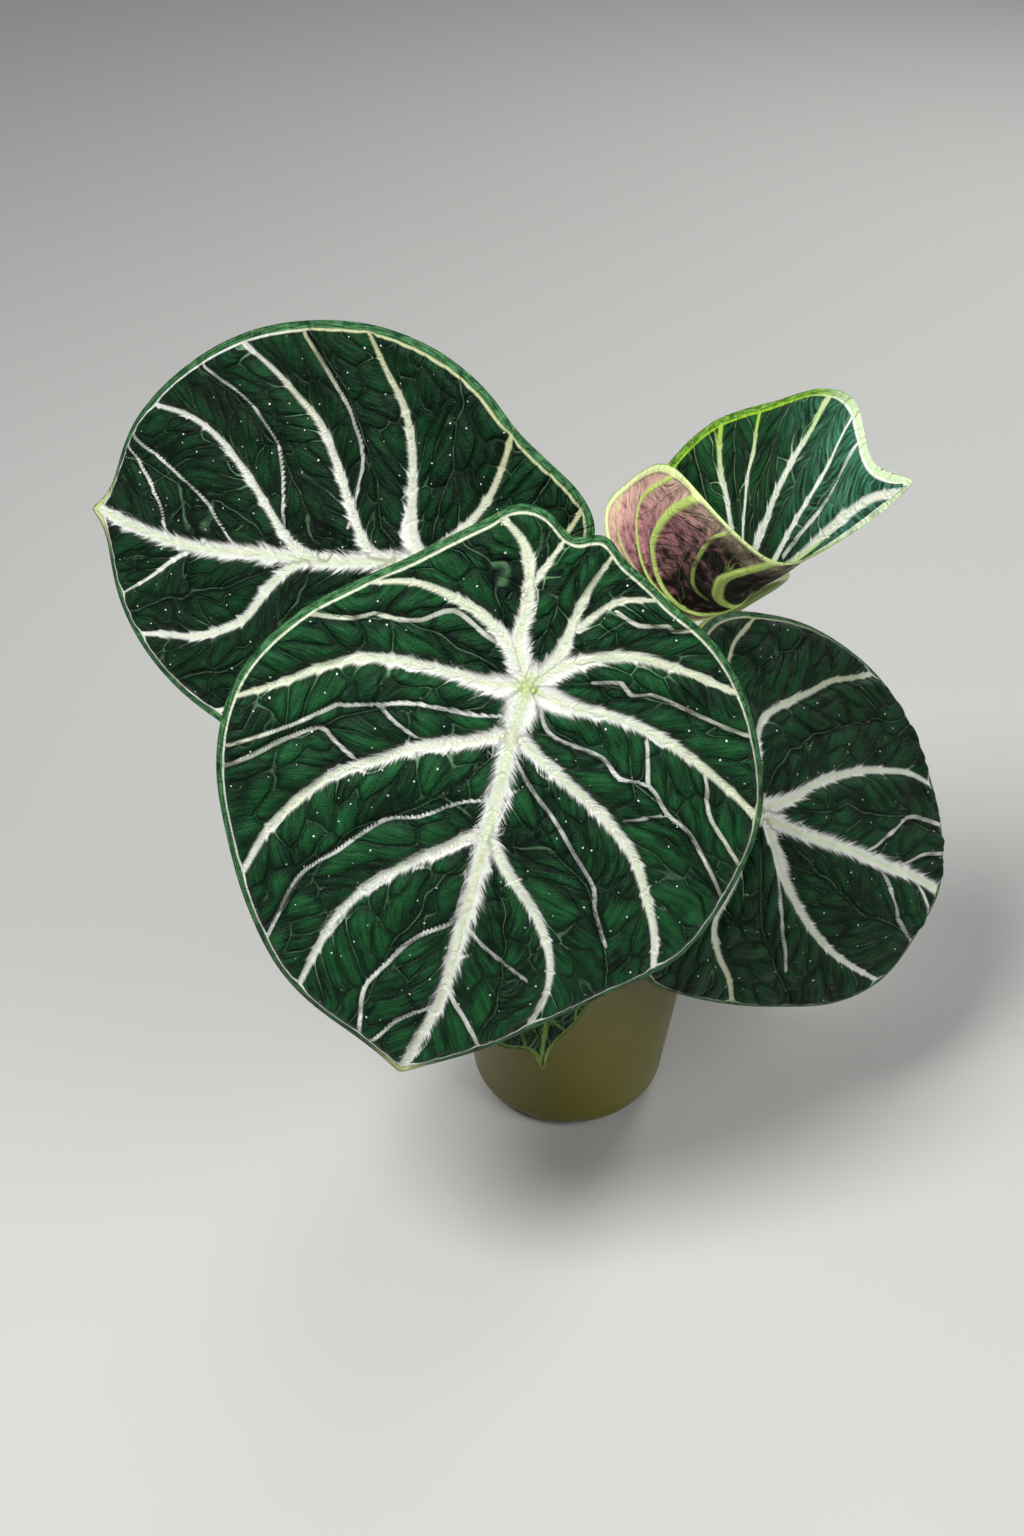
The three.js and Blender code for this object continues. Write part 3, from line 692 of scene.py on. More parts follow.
def leaf_material(name, palette, rim_width, hairs_reach=1.0):
    """Living leaf tissue under short velvet hairs: broad feathered white veins with a fine rib along
    their middle, a pale collecting vein inside the margin, a net of thin veins, tissue darker between
    them with painted shade in its valleys, and scattered pale dots; on a young leaf a painted sheen."""
    # The leaf's waxy skin has an index of about 1.45, and its hairs give the sheen
    material, tree, shader = new_material(name, **{
        "IOR": 1.45, "Specular IOR Level": 0.12, "Sheen Weight": 0.02, "Sheen Roughness": 0.4,
        "Sheen Tint": linear("#BFD8C8")})
    fields = {}
    for key, parts in (
            ("vein", "away place width"), ("net", "column row middle"), ("rim", "edge round upper"),
            ("thin", "thin thin_away thin_width"), ("blade", "along across leaf")):
        vector = add(tree, "Attribute", out="Vector", attribute_name=key)
        split = add(tree, "SeparateXYZ", (vector,), out=None)
        fields.update(zip(parts.split(), split.outputs))
        fields[key] = vector
    away, place, width, edge = fields["away"], fields["place"], fields["width"], fields["edge"]
    beyond = add(tree, "Math", (away, width), operation="SUBTRACT")
    lean = add(tree, "Math", (away, -FOLD_LEAN, place), operation="MULTIPLY_ADD")

    # Hairs lean forward, so their pattern runs along lines that leave a vein at about 45 degrees
    across_hairs = add(tree, "Math", (away, 0.1), operation="MULTIPLY")
    hair_place = add(tree, "CombineXYZ", (lean, across_hairs, fields["leaf"]))
    hairs = add(tree, "TexNoise", {0: hair_place, "Scale": 1.9, "Detail": 5.0, "Roughness": 0.75})
    hairs = add(tree, "MapRange", (hairs, 0.4, 0.74, 0.0, hairs_reach))
    longer = add(tree, "MapRange", (width, 0.6, 2.8, 0.1, 1.2))
    spread = add(tree, "Math", (width, longer), operation="MULTIPLY")
    spread = add(tree, "Math", (hairs, spread), operation="MULTIPLY")
    near_column = add(tree, "Math", (fields["column"],), operation="ABSOLUTE")
    near_row = add(tree, "Math", (fields["row"],), operation="ABSOLUTE")
    border = add(tree, "Math", (near_column, near_row), operation="MINIMUM")
    notch = add(tree, "MapRange", (border, 0.0, 0.7, 0.45, 0.0))
    spread = add(tree, "Math", (notch, width, spread), operation="MULTIPLY_ADD")
    from_hub = add(tree, "VectorMath", (fields["blade"], (1.0, 1.0, 0.0)), operation="MULTIPLY")
    from_hub = add(tree, "VectorMath", (from_hub,), out="Value", operation="LENGTH")
    flare = add(tree, "MapRange", (from_hub, 2.0, palette["flare_depth"], 2.0, 0.0))
    spread = add(tree, "Math", (spread, flare), operation="ADD")
    reach = add(tree, "Math", (width, 0.66, spread), operation="MULTIPLY_ADD")
    reach = add(tree, "Math", (away, reach), operation="SUBTRACT")
    blur = add(tree, "Math", (width, 0.26, 0.12), operation="MULTIPLY_ADD")
    reach = add(tree, "Math", (reach, blur), operation="DIVIDE")
    white = add(tree, "MapRange", (reach, -1.0, 1.0, 1.0, 0.0), **SMOOTH)

    # The rib in the middle of a vein: two fine lines on a side vein, a broad striped band on the midrib
    off_line = add(tree, "Math", (away, 0.45), operation="SUBTRACT")
    off_line = add(tree, "Math", (off_line,), operation="ABSOLUTE")
    fine_line = add(tree, "MapRange", (off_line, 0.05, 0.25, 0.4, 0.0))
    wide_enough = add(tree, "MapRange", (width, 0.9, 1.5, 0.0, 1.0))
    fine_line = add(tree, "Math", (fine_line, wide_enough), operation="MULTIPLY")
    band = add(tree, "Math", (width, -0.5, away), operation="MULTIPLY_ADD")
    band = add(tree, "MapRange", (band, -0.9, 0.5, 0.7, 0.0), **SMOOTH)
    broad = add(tree, "MapRange", (width, 1.0, 2.6, 0.4, 1.0))
    band = add(tree, "Math", (band, broad), operation="MULTIPLY")
    along_rib = add(tree, "Math", (place, 0.1), operation="MULTIPLY")
    rib_place = add(tree, "CombineXYZ", (away, along_rib))
    stripes = add(tree, "TexNoise", {0: rib_place, "Scale": 2.8, "Detail": 3.0, "Roughness": 0.65})
    stripe_tone = add(tree, "MapRange", (stripes, 0.35, 0.68, 0.25, 1.0))
    band = add(tree, "Math", (band, stripe_tone), operation="MULTIPLY")
    ribbed = add(tree, "Math", (fine_line, band), operation="MAXIMUM")
    ribbed = add(tree, "Math", (ribbed, white), operation="MULTIPLY")
    spot = add(tree, "MapRange", (from_hub, 1.0, 5.0, 1.0, 0.0))
    spot = add(tree, "Math", (spot, stripe_tone), operation="MULTIPLY")

    # Thin veins: borders of the cells, clearest where they leave a white vein, and the zigzag between
    # two of them
    near_middle = add(tree, "Math", (fields["middle"],), operation="ABSOLUTE")
    patches = add(tree, "TexNoise", {0: fields["blade"], "Scale": 0.09, "Detail": 1.0})
    present = add(tree, "MapRange", (patches, 0.48, 0.62, 0.05, 0.4))
    leaving = add(tree, "MapRange", (beyond, 0.5, 5.0, 1.6, 0.5))
    present = add(tree, "Math", (present, leaving), operation="MULTIPLY")
    cell_line = add(tree, "MapRange", (border, 0.04, 0.2, 1.0, 0.0))
    cell_line = add(tree, "Math", (cell_line, present), operation="MULTIPLY")
    middle_line = add(tree, "MapRange", (near_middle, 0.05, 0.25, 0.3, 0.0))
    clear = add(tree, "MapRange", (beyond, 2.0, 5.0, 0.0, 1.0))
    middle_line = add(tree, "Math", (middle_line, clear), operation="MULTIPLY")
    net = add(tree, "Math", (cell_line, middle_line), operation="MAXIMUM")
    thin_line = add(tree, "Math", (fields["thin"],), operation="ABSOLUTE")
    thin_line = add(tree, "Math", (thin_line, fields["thin_width"]), operation="SUBTRACT")
    thin_line = add(tree, "MapRange", (thin_line, -0.12, 0.08, 0.85, 0.0))
    fading = add(tree, "MapRange", (patches, 0.4, 0.58, 0.35, 0.9))
    thin_line = add(tree, "Math", (thin_line, fading), operation="MULTIPLY")
    close = add(tree, "MapRange", (fields["thin_away"], 0.8, 1.2, 1.0, 0.0))
    thin_line = add(tree, "Math", (thin_line, close), operation="MULTIPLY")
    # Painted shade beside a thin vein, which darkens the tissue's tone below
    thin_valley_shade = add(tree, "MapRange", (fields["thin_away"], 0.3, 2.2, 0.35, 1.0), **SMOOTH)

    # Tissue: a tone that varies at random, with wrinkles that lean forward, and painted shade that darkens
    # it to nearly black in the valleys at cell borders, along the middle fold and beside thin veins
    wrinkle_along = add(tree, "Math", (lean, 0.55), operation="MULTIPLY")
    wrinkle_out = add(tree, "Math", (away, 0.13), operation="MULTIPLY")
    wrinkle_place = add(tree, "CombineXYZ", (wrinkle_along, wrinkle_out, fields["leaf"]))
    wrinkles = add(tree, "TexNoise", {0: wrinkle_place, "Scale": 1.0, "Detail": 3.0, "Roughness": 0.55})
    tone = add(tree, "TexNoise", {0: fields["blade"], "Scale": 0.1, "Detail": 3.0})
    tone = add(tree, "Math", (tone, wrinkles), operation="ADD")
    tone = add(tree, "MapRange", (tone, 0.72, 1.25, 0.05, 1.0))
    # Painted shade in the valleys: darker towards cell borders, along the middle fold and beside thin veins
    swell = add(tree, "MapRange", (border, 0.0, 1.7, 0.28, 1.0), **SMOOTH)
    fold_shade = add(tree, "MapRange", (near_middle, 0.0, 2.0, 0.2, 1.0), **SMOOTH)
    swell = add(tree, "Math", (swell, fold_shade), operation="MULTIPLY")
    swell = add(tree, "Math", (swell, thin_valley_shade), operation="MULTIPLY")
    tone = add(tree, "Math", (tone, swell), operation="MULTIPLY")
    colour = add(tree, "Mix", {0: tone, 6: palette["dark"], 7: palette["light"]}, **COLOURS)
    # Painted sheen on a young leaf: a pale green-grey laid over its pleats towards the tip, where its
    # velvet catches the light
    if "silver" in palette:
        silver = add(tree, "MapRange", (fields["along"], 25.0, 80.0, 0.0, 1.0))
        pleat_sheen = add(tree, "MapRange", (wrinkles, 0.42, 0.6, 0.1, 0.85))
        silver = add(tree, "Math", (silver, pleat_sheen), operation="MULTIPLY")
        colour = add(tree, "Mix", {0: silver, 6: colour, 7: palette["silver"]}, **COLOURS)

    # Pale dots, about a third of a millimetre wide, which only grown leaves have
    dots = add(tree, "TexVoronoi", {0: fields["blade"], "Scale": 0.17}, out=None, voronoi_dimensions="2D")
    dot_kind = add(tree, "SeparateColor", (dots.outputs["Color"],))
    dot_size = add(tree, "MapRange", (dot_kind, 0.55, 1.0, 0.0, 0.058))
    dot = add(tree, "Math", (dots.outputs["Distance"], dot_size), operation="LESS_THAN")
    dot = add(tree, "Math", (dot, palette["dots"]), operation="MULTIPLY")

    # Rim: a pale vein a little inside the margin, and outside it a band striped along the margin
    off_rim = add(tree, "Math", (edge, rim_width), operation="SUBTRACT")
    rim_round = add(tree, "Math", (fields["round"], 0.08), operation="MULTIPLY")
    rim_place = add(tree, "CombineXYZ", (rim_round, edge))
    rim_stripes = add(tree, "TexNoise", {0: rim_place, "Scale": 2.4, "Detail": 2.0})
    rim_colour = two_tones(tree, rim_stripes, 0.4, 0.66, palette["rim_dark"], palette["rim"])
    start, end = palette["tip_from"]
    pale_tip = add(tree, "MapRange", (fields["along"], start, end, 0.0, 0.8))
    rim_colour = add(tree, "Mix", {0: pale_tip, 6: rim_colour, 7: palette["tip"]}, **COLOURS)
    outside = add(tree, "MapRange", (off_rim, -0.3, 0.1, 1.0, 0.0))
    rim_line = add(tree, "Math", (off_rim,), operation="ABSOLUTE")
    rim_line = add(tree, "MapRange", (rim_line, 0.15, 0.5, 0.85, 0.0))
    inner = add(tree, "MapRange", (off_rim, -0.5, 0.2, 0.0, 1.0))
    white = add(tree, "Math", (white, thin_line), operation="MAXIMUM")
    white = add(tree, "Math", (white, inner), operation="MULTIPLY")
    white = add(tree, "Math", (white, rim_line), operation="MAXIMUM")

    # Veins are creamier towards the margin; on a young leaf they are lime there, partly its own colour and
    # partly painted light shining through the thin blade
    from_margin = add(tree, "MapRange", (edge, 4.0, palette["cream_depth"], 0.0, 1.0))
    to_tip = add(tree, "MapRange", (fields["along"], 40.0, 62.0, 0.0, 1.0))
    bleached = add(tree, "Math", (from_margin, to_tip), operation="MAXIMUM")
    vein_colour = add(tree, "Mix", {0: bleached, 6: palette["cream"], 7: palette["white"]}, **COLOURS)
    colour = layered(tree, colour, (
        (net, palette["thin"]), (dot, palette["white"]), (outside, rim_colour), (white, vein_colour),
        (ribbed, palette["lime"]), (spot, palette["hub"])))

    # Underside: its own tissue colour, paler towards the margin and darker near the midrib, partly its own
    # colour and partly painted shade where a young leaf's roll folds, with raised veins of another
    under_edge = add(tree, "Math", (width, -0.85, away), operation="MULTIPLY_ADD")
    under_vein = add(tree, "MapRange", (under_edge, -0.3, 0.5, 1.0, 0.0))
    under_thin = add(tree, "Math", (net, 0.45), operation="MULTIPLY")
    under_thin = add(tree, "Math", (under_thin, thin_line), operation="MAXIMUM")
    under_vein = add(tree, "Math", (under_vein, under_thin), operation="MAXIMUM")
    # Painted shade and own colour: the underside darkens towards the midrib, mottled by blotches
    depth = add(tree, "Math", (fields["across"],), operation="ABSOLUTE")
    depth = add(tree, "MapRange", (depth, 22.0, 58.0, -0.15, 0.9))
    blotches = add(tree, "TexNoise", {0: fields["blade"], "Scale": 0.25, "Detail": 5.0, "Roughness": 0.7})
    blotches = add(tree, "MapRange", (blotches, 0.3, 0.7, 0.0, 1.0))
    depth = add(tree, "Math", (depth, blotches), operation="ADD")
    depth = add(tree, "MapRange", (depth, 0.5, 1.4, 0.0, 1.0))
    halo = add(tree, "MapRange", (edge, 2.0, 16.0, 1.0, 0.0))
    halo = add(tree, "Math", (halo, blotches), operation="MULTIPLY")
    under_rim = add(tree, "MapRange", (off_rim, -0.8, 0.5, 1.0, 0.0))
    colour = layered(tree, palette["under_dark"], (
        (depth, palette["under"]), (halo, palette["under_halo"]), (under_vein, palette["under_vein"]),
        (under_rim, palette["under_rim"]), (fields["upper"], colour)))

    # White veins are drier than the tissue, and the whole surface has a fine grain
    rough = add(tree, "MapRange", (white, 0.0, 1.0, 0.44, 0.62))
    tree.links.new(rough, shader.inputs["Roughness"])
    grain = add(tree, "TexNoise", {0: fields["blade"], "Scale": 1.6, "Detail": 3.0})
    relief = add(tree, "Math", (wrinkles, 1.8, grain), operation="MULTIPLY_ADD")
    strands = add(tree, "Math", (stripes, hairs), operation="ADD")
    relief = add(tree, "Math", (strands, white, relief), operation="MULTIPLY_ADD")
    valley = add(tree, "MapRange", (border, 0.0, 0.9, 0.0, 0.8), **SMOOTH)
    relief = add(tree, "Math", (relief, valley), operation="ADD")
    dress(tree, shader, colour, relief, 0.85, 0.6)
    return material


def stalk_material(settings):
    """Fleshy leaf stalk: smooth waxy green skin, fine long streaks, and a brown blush near the foot."""
    material, tree, shader = new_material("fleshy_green_stalk", **{
        "IOR": 1.45, "Roughness": 0.38, "Subsurface Weight": 0.08, "Subsurface Scale": 0.002})
    shader.inputs["Subsurface Radius"].default_value = (0.6, 1.0, 0.3)
    place = add(tree, "Attribute", out="Vector", attribute_name="stalk")
    split = add(tree, "SeparateXYZ", (place,), out=None)
    stretched = add(tree, "VectorMath", (place, (0.06, 2.2, 2.2)), operation="MULTIPLY")
    streaks = add(tree, "TexNoise", {0: stretched, "Scale": 1.0, "Detail": 4.0, "Roughness": 0.6})
    green = two_tones(tree, streaks, 0.35, 0.68, solid(settings.dark), solid(settings.light))
    foot = add(tree, "MapRange", (split.outputs[0], 4.0, 55.0, 0.75, 0.0))
    foot = add(tree, "Math", (foot, streaks), operation="MULTIPLY")
    colour = add(tree, "Mix", {0: foot, 6: green, 7: linear("#7A4B45")}, **COLOURS)
    dress(tree, shader, colour, streaks, 0.35, 0.3)
    return material


def glaze_material(settings):
    """Satin glazed stoneware: an even olive glaze over a clay grain of about a millimetre, a little
    thinner and lighter in patches some 45 mm wide."""
    material, tree, shader = new_material("satin_olive_glaze", **{"IOR": 1.5})
    place = add(tree, "TexCoord", out="Object")
    cloud = add(tree, "TexNoise", {0: place, "Scale": 22.0, "Detail": 3.0})
    glaze = two_tones(tree, cloud, 0.3, 0.7, solid(settings.glaze, 0.82), solid(settings.glaze))
    grains = add(tree, "TexNoise", {0: place, "Scale": 900.0, "Detail": 2.0})
    speck = add(tree, "MapRange", (grains, 0.66, 0.72, 0.0, 0.35))
    colour = add(tree, "Mix", {0: speck, 6: glaze, 7: linear("#2E2C12")}, **COLOURS)
    rough = add(tree, "MapRange", (cloud, 0.3, 0.7, 0.42, 0.34))
    tree.links.new(rough, shader.inputs["Roughness"])
    dress(tree, shader, colour, grains, 0.12, 0.1)
    return material


def crumb_material(name, dark, light, rough, grains_in_metre):
    """Loose damp matter such as potting mix or bark: matt, mottled at the size of its grains, which are
    1.4 to 4 mm."""
    material, tree, shader = new_material(name, **{"IOR": 1.4, "Roughness": rough})
    place = add(tree, "TexCoord", out="Object")
    mottle = add(tree, "TexNoise", {
        0: place, "Scale": grains_in_metre, "Detail": 5.0, "Roughness": 0.65})
    colour = two_tones(tree, mottle, 0.35, 0.7, linear(dark), linear(light))
    dress(tree, shader, colour, mottle, 0.8, 0.6)
    return material


def papery_material():
    """Dried sheath: thin tan leaf skin whose parallel fibres run from foot to tip."""
    material, tree, shader = new_material("dry_papery_sheath", **{"IOR": 1.45, "Roughness": 0.7})
    place = add(tree, "Attribute", out="Vector", attribute_name="sheath")
    stretched = add(tree, "VectorMath", (place, (0.08, 3.0, 1.0)), operation="MULTIPLY")
    fibres = add(tree, "TexNoise", {0: stretched, "Scale": 1.0, "Detail": 4.0, "Roughness": 0.6})
    colour = two_tones(tree, fibres, 0.35, 0.68, linear("#6E5433"), linear("#C2AC7C"))
    dress(tree, shader, colour, fibres, 0.6, 0.3)
    return material


def palette_of(base=None, **values):
    """A set of colours from hex codes, and of other values as they are, over those of a base set."""
    given = {name: linear(value) if isinstance(value, str) else value for name, value in values.items()}
    return {**(base or {}), **given}


# Colours of the grown leaves, of the small hidden one, darkened as painted shade, and of the young one,
# with the depth in millimetres from the margin at which veins turn white, the depth of the white round
# the stalk, and where along the leaf its tip pales
GROWN = palette_of(
    dark="#010805", light="#164C26", thin="#6C9A6E", white="#F6F8F0", cream="#E6ECD0", lime="#C6DA86",
    hub="#C3D76C", rim="#4A7A4C", rim_dark="#0F361B", tip="#C4CE92", under="#5E6B45", under_dark="#4A3836",
    under_halo="#7C8C5C", under_vein="#A9B883", under_rim="#8FA06B",
    cream_depth=40.0, flare_depth=20.0, tip_from=(122.0, 127.0), dots=0.6)
# The small leaf's colours are the grown ones darkened as painted shade, for it lies in shade under the
# front leaf
SHADED_SMALL = palette_of(
    GROWN, light="#174420", white="#8AA65C", cream="#64803A", lime="#7E983A", hub="#8DA83E", rim="#4F6E2C",
    rim_dark="#28461C", tip="#8A9A3C", flare_depth=3.0, tip_from=(48.0, 54.0))
# The young leaf's lime veins and rim near its margin are partly painted light shining through the blade
YOUNG = palette_of(
    dark="#020D07", light="#1B5229", thin="#A9C98E", white="#F6FAEE", cream="#A3D02A", lime="#D5E8A4",
    hub="#C3D76C", silver="#4B8A70", rim="#86B03C", rim_dark="#32601C", tip="#D3E6BC", under="#C2878A",
    under_dark="#120605", under_halo="#D8C6A4", under_vein="#CBE37A", under_rim="#DFEFA4",
    cream_depth=22.0, flare_depth=4.0, tip_from=(45.0, 70.0), dots=0.0)
# Grown leaves: factor on the tissue's colour, and the colour of the veins' outer parts. The leaves behind
# and the small one below get darker tissue as painted shade; the two behind are yellower along their veins.
GROWN_LEAVES = {
    "front": (1.0, GROWN["cream"]),
    "left": (0.55, linear("#CDD1A2")),
    "right": (0.75, linear("#DCE0BC")),
    "small": (0.8, SHADED_SMALL["cream"]),
}


def length_setting(name, description, millimetres):
    """A length that the sidebar shows, given in millimetres."""
    return FloatProperty(name=name, description=description, default=millimetres * MM, unit="LENGTH")


def colour_setting(name, description, colour):
    """A colour that the sidebar shows."""
    return FloatVectorProperty(
        name=name, description=description, default=colour[:3], subtype="COLOR", size=3)


class LeafSettings(bpy.types.PropertyGroup):
    quilting: length_setting("Quilting", "Height of the swellings between veins", 1.25)
    cell_size: FloatProperty(
        name="Cell size", description="Spacing of the folds along a side vein, in millimetres", default=6.5)
    blade_thickness: length_setting("Thickness", "Thickness of a leaf blade", 0.7)
    tissue: colour_setting("Tissue", "Colour of a grown leaf between its veins", GROWN["light"])
    veins: colour_setting("Veins", "Colour of a grown leaf's veins", GROWN["white"])


class StalkSettings(bpy.types.PropertyGroup):
    thickness: FloatProperty(
        name="Thickness", description="Factor on the thickness of the stalks", default=1.0)
    dark: colour_setting("Dark streaks", "Darker colour of a stalk", linear("#6F8A3E"))
    light: colour_setting("Light streaks", "Lighter colour of a stalk", linear("#B4C27A"))


class PotSettings(bpy.types.PropertyGroup):
    height: length_setting("Height", "Height of the pot", 88)
    rim_radius: length_setting("Rim radius", "Outer radius at the rim", 46)
    foot_radius: length_setting("Foot radius", "Outer radius at the foot, before its round edge", 34.5)
    glaze: colour_setting("Glaze", "Colour of the glaze", linear("#605C0A"))


class SoilSettings(bpy.types.PropertyGroup):
    crumbs: IntProperty(name="Crumbs", description="Number of loose crumbs on the soil", default=260)


class StageSettings(bpy.types.PropertyGroup):
    floor: colour_setting("Floor", "Colour of the floor", linear("#B0B0AD"))
    key_power: FloatProperty(
        name="Key light", description="Power of the main light", default=18.5, unit="POWER")


class ALOCASIA_OT_mature_leaves(bpy.types.Operator):
    """Makes the four grown leaf blades"""
    bl_idname = "alocasia.mature_leaves"
    bl_label = "Grown Leaves"

    def execute(self, context):
        settings = context.scene.alocasia_leaves
        for name, (painted_shade, cream) in GROWN_LEAVES.items():
            base = SHADED_SMALL if name == "small" else GROWN
            # The tissue colour times a factor that paints shade on the leaves behind and below the front
            # one
            palette = dict(base, light=solid(settings.tissue, painted_shade), cream=cream)
            if base is GROWN:
                palette["white"] = solid(settings.veins)
            material = leaf_material(name + "_velvety_leaf", palette, LEAVES[name]["rim"])
            leaf_blade(name, LEAVES[name], settings, material)
        return {"FINISHED"}


class ALOCASIA_OT_young_leaf(bpy.types.Operator):
    """Makes the young leaf blade, still rolled"""
    bl_idname = "alocasia.young_leaf"
    bl_label = "Young Leaf"

    def execute(self, context):
        material = leaf_material("tender_rose_backed_leaf", YOUNG, LEAVES["young"]["rim"], 0.5)
        leaf_blade("young", LEAVES["young"], context.scene.alocasia_leaves, material)
        return {"FINISHED"}


class ALOCASIA_OT_stalks(bpy.types.Operator):
    """Makes the five leaf stalks"""
    bl_idname = "alocasia.stalks"
    bl_label = "Stalks"

    def execute(self, context):
        settings = context.scene.alocasia_stalks
        material = stalk_material(settings)
        for name, (angle, foot, top, path) in STALKS.items():
            self.stalk(name, angle, foot * settings.thickness, top * settings.thickness, path, material)
        return {"FINISHED"}

    @staticmethod
    def stalk(name, angle, foot_radius, top_radius, path, material):
        """A tube along the smooth curve from the crown to the blade: rings square to the curve, which
        keep their turn from one to the next, with a shallow groove in front and a swollen foot."""
        leaf = LEAVES[name]
        turn = np.radians(angle)
        foot = np.array([STALK_CIRCLE * np.cos(turn), STALK_CIRCLE * np.sin(turn), ROOTSTOCK_TOP - 1.0])
        hub = np.array(leaf["hub"], float)
        arrival = hub - np.array(path[-1], float)
        top = hub - arrival / np.linalg.norm(arrival) * 0.6
        curve = smooth_curve([foot, foot + [0, 0, 9], *path, top], 1.6)
        heading = np.gradient(curve, axis=0)
        heading /= np.linalg.norm(heading, axis=1, keepdims=True)
        normals = [np.cross(heading[0], [np.sin(turn), -np.cos(turn), 0])]
        for direction in heading[1:]:
            kept = normals[-1] - direction * (normals[-1] @ direction)
            normals.append(kept / np.linalg.norm(kept))
        normals = np.array(normals)
        binormals = np.cross(heading, normals)
        lengths = np.concatenate([[0], np.cumsum(np.linalg.norm(np.diff(curve, axis=0), axis=1))])
        share = lengths / lengths[-1]
        around = np.linspace(0, 2 * np.pi, STALK_SIDES, endpoint=False)[None, :]
        radius = (foot_radius + (top_radius - foot_radius) * share**0.8)[:, None]
        off_groove = np.angle(np.exp(1j * around)) / GROOVE_WIDTH
        radius = radius * (1 - GROOVE_DEPTH * np.exp(-(off_groove**2)))
        radius = radius + 0.08 * soft_noise(lengths[:, None] / 9, np.cos(around) * 2, len(name) + 3, 2)
        swelling = FOOT_SWELLING * np.exp(-lengths / FOOT_REACH)
        swelling = swelling + TOP_SWELLING * np.exp(-(lengths[-1] - lengths) / TOP_REACH)
        radius = radius + swelling[:, None]
        rings = curve[:, None] + radius[..., None] * (
            np.cos(around)[..., None] * normals[:, None] + np.sin(around)[..., None] * binormals[:, None])
        points = np.vstack([rings.reshape(-1, 3), curve[:1], curve[-1:]])
        along = np.repeat(lengths, STALK_SIDES)
        turned = np.tile(around.ravel(), len(curve))
        marks = np.stack([along, 2 * np.cos(turned), 2 * np.sin(turned)], -1)
        marks = np.vstack([marks, [[0, 0, 0], [lengths[-1], 0, 0]]])
        make_piece(
            name + "_stalk", points, tube_faces(len(curve), STALK_SIDES), material,
            (name + "_leaf_stalk",), {"stalk": marks})


class ALOCASIA_OT_crown(bpy.types.Operator):
    """Makes the rootstock and the papery sheaths round it"""
    bl_idname = "alocasia.crown"
    bl_label = "Rootstock and Sheaths"

    def execute(self, context):
        bark = crumb_material("ringed_bark", "#4A3A26", "#9A8558", 0.85, 260)
        heights = np.linspace(ROOTSTOCK_BOTTOM, ROOTSTOCK_TOP, 60)
        radii = np.interp(heights, *ROOTSTOCK_SHAPE)
        outline = [(0, ROOTSTOCK_BOTTOM), *zip(radii, heights), (0, ROOTSTOCK_TOP)]
        points, faces = turned_body(outline, 96, lambda turn, height: (
            0.18 * np.sin(height * 2.6 + 0.6 * np.sin(3 * turn))
            + 0.25 * soft_noise(4 * np.cos(turn) + 9, 4 * np.sin(turn) + height / 4, 5, 3)))
        make_piece("rootstock_bark", points, faces, bark, ("rootstock",))
        paper = papery_material()
        for number, (name, (angle, height, lean)) in enumerate(SHEATHS.items()):
            self.sheath(name, angle, height, lean, number, paper)
        return {"FINISHED"}

    @staticmethod
    def sheath(name, angle, height, lean, seed, material):
        """A thin pointed strip curled round the crown: the outer face is an arc of a cylinder, and the
        inner face the same arc a little nearer the axis, with wavy edges and a tip that bends
        outwards."""
        up, over = np.meshgrid(np.linspace(0, 1, 71), np.linspace(-1, 1, 33), indexing="ij")
        half_width = SHEATH_HALF_WIDTH * np.sqrt(np.clip(1 - up**2.2, 0.0, 1))
        half_width = half_width * (0.9 + 0.1 * np.sin(7 * up + seed)) + 0.05
        turn = half_width * over / SHEATH_CURL_RADIUS
        rise = height * up - SHEATH_SUNK * (1 - up) + 0.8 * soft_noise(over * 3 + seed, up * 2, seed) * up
        bulge = 0.35 * soft_noise(over * 4, up * 6, seed + 3, 2) + SHEATH_BEND * up**3
        skins = []
        for skin in SHEATH_SKINS:
            radius = SHEATH_CURL_RADIUS + bulge + skin * (1 - over**6)
            skins.append(np.stack([
                radius * np.cos(turn) - SHEATH_CURL_RADIUS, radius * np.sin(turn), rise], -1))
        points = np.vstack(skins).reshape(-1, 3)
        tilt, stand = np.radians(lean), np.radians(angle)
        x = points[:, 0] * np.cos(tilt) + points[:, 2] * np.sin(tilt) + SHEATH_CIRCLE
        z = points[:, 2] * np.cos(tilt) - points[:, 0] * np.sin(tilt) + SOIL_TOP + SHEATH_RISE
        y = points[:, 1]
        points = np.stack([
            x * np.cos(stand) - y * np.sin(stand), x * np.sin(stand) + y * np.cos(stand), z], -1)
        rows, columns = up.shape
        grid = np.arange(rows * columns).reshape(rows, columns)
        quads = np.stack([grid[:-1, :-1], grid[:-1, 1:], grid[1:, 1:], grid[1:, :-1]], -1).reshape(-1, 4)
        below = (quads + rows * columns)[:, ::-1]
        loop = np.concatenate([grid[:-1, 0], grid[-1, :-1], grid[:0:-1, -1], grid[0, :0:-1]])
        after = np.roll(loop, -1)
        edge = np.stack([loop, after, after + rows * columns, loop + rows * columns], -1)
        marks = np.stack([height * up, 6 * over, seed + 0 * up], -1).reshape(-1, 3)
        make_piece(
            name + "_skin", points, [np.vstack([quads, below, edge])], material, (name,),
            {"sheath": np.vstack([marks, marks])})


def soil_height(radius):
    """Height of the soil bed: straight pieces, heaped round the crown and lower at the wall."""
    return np.interp(radius, *SOIL_SHAPE)


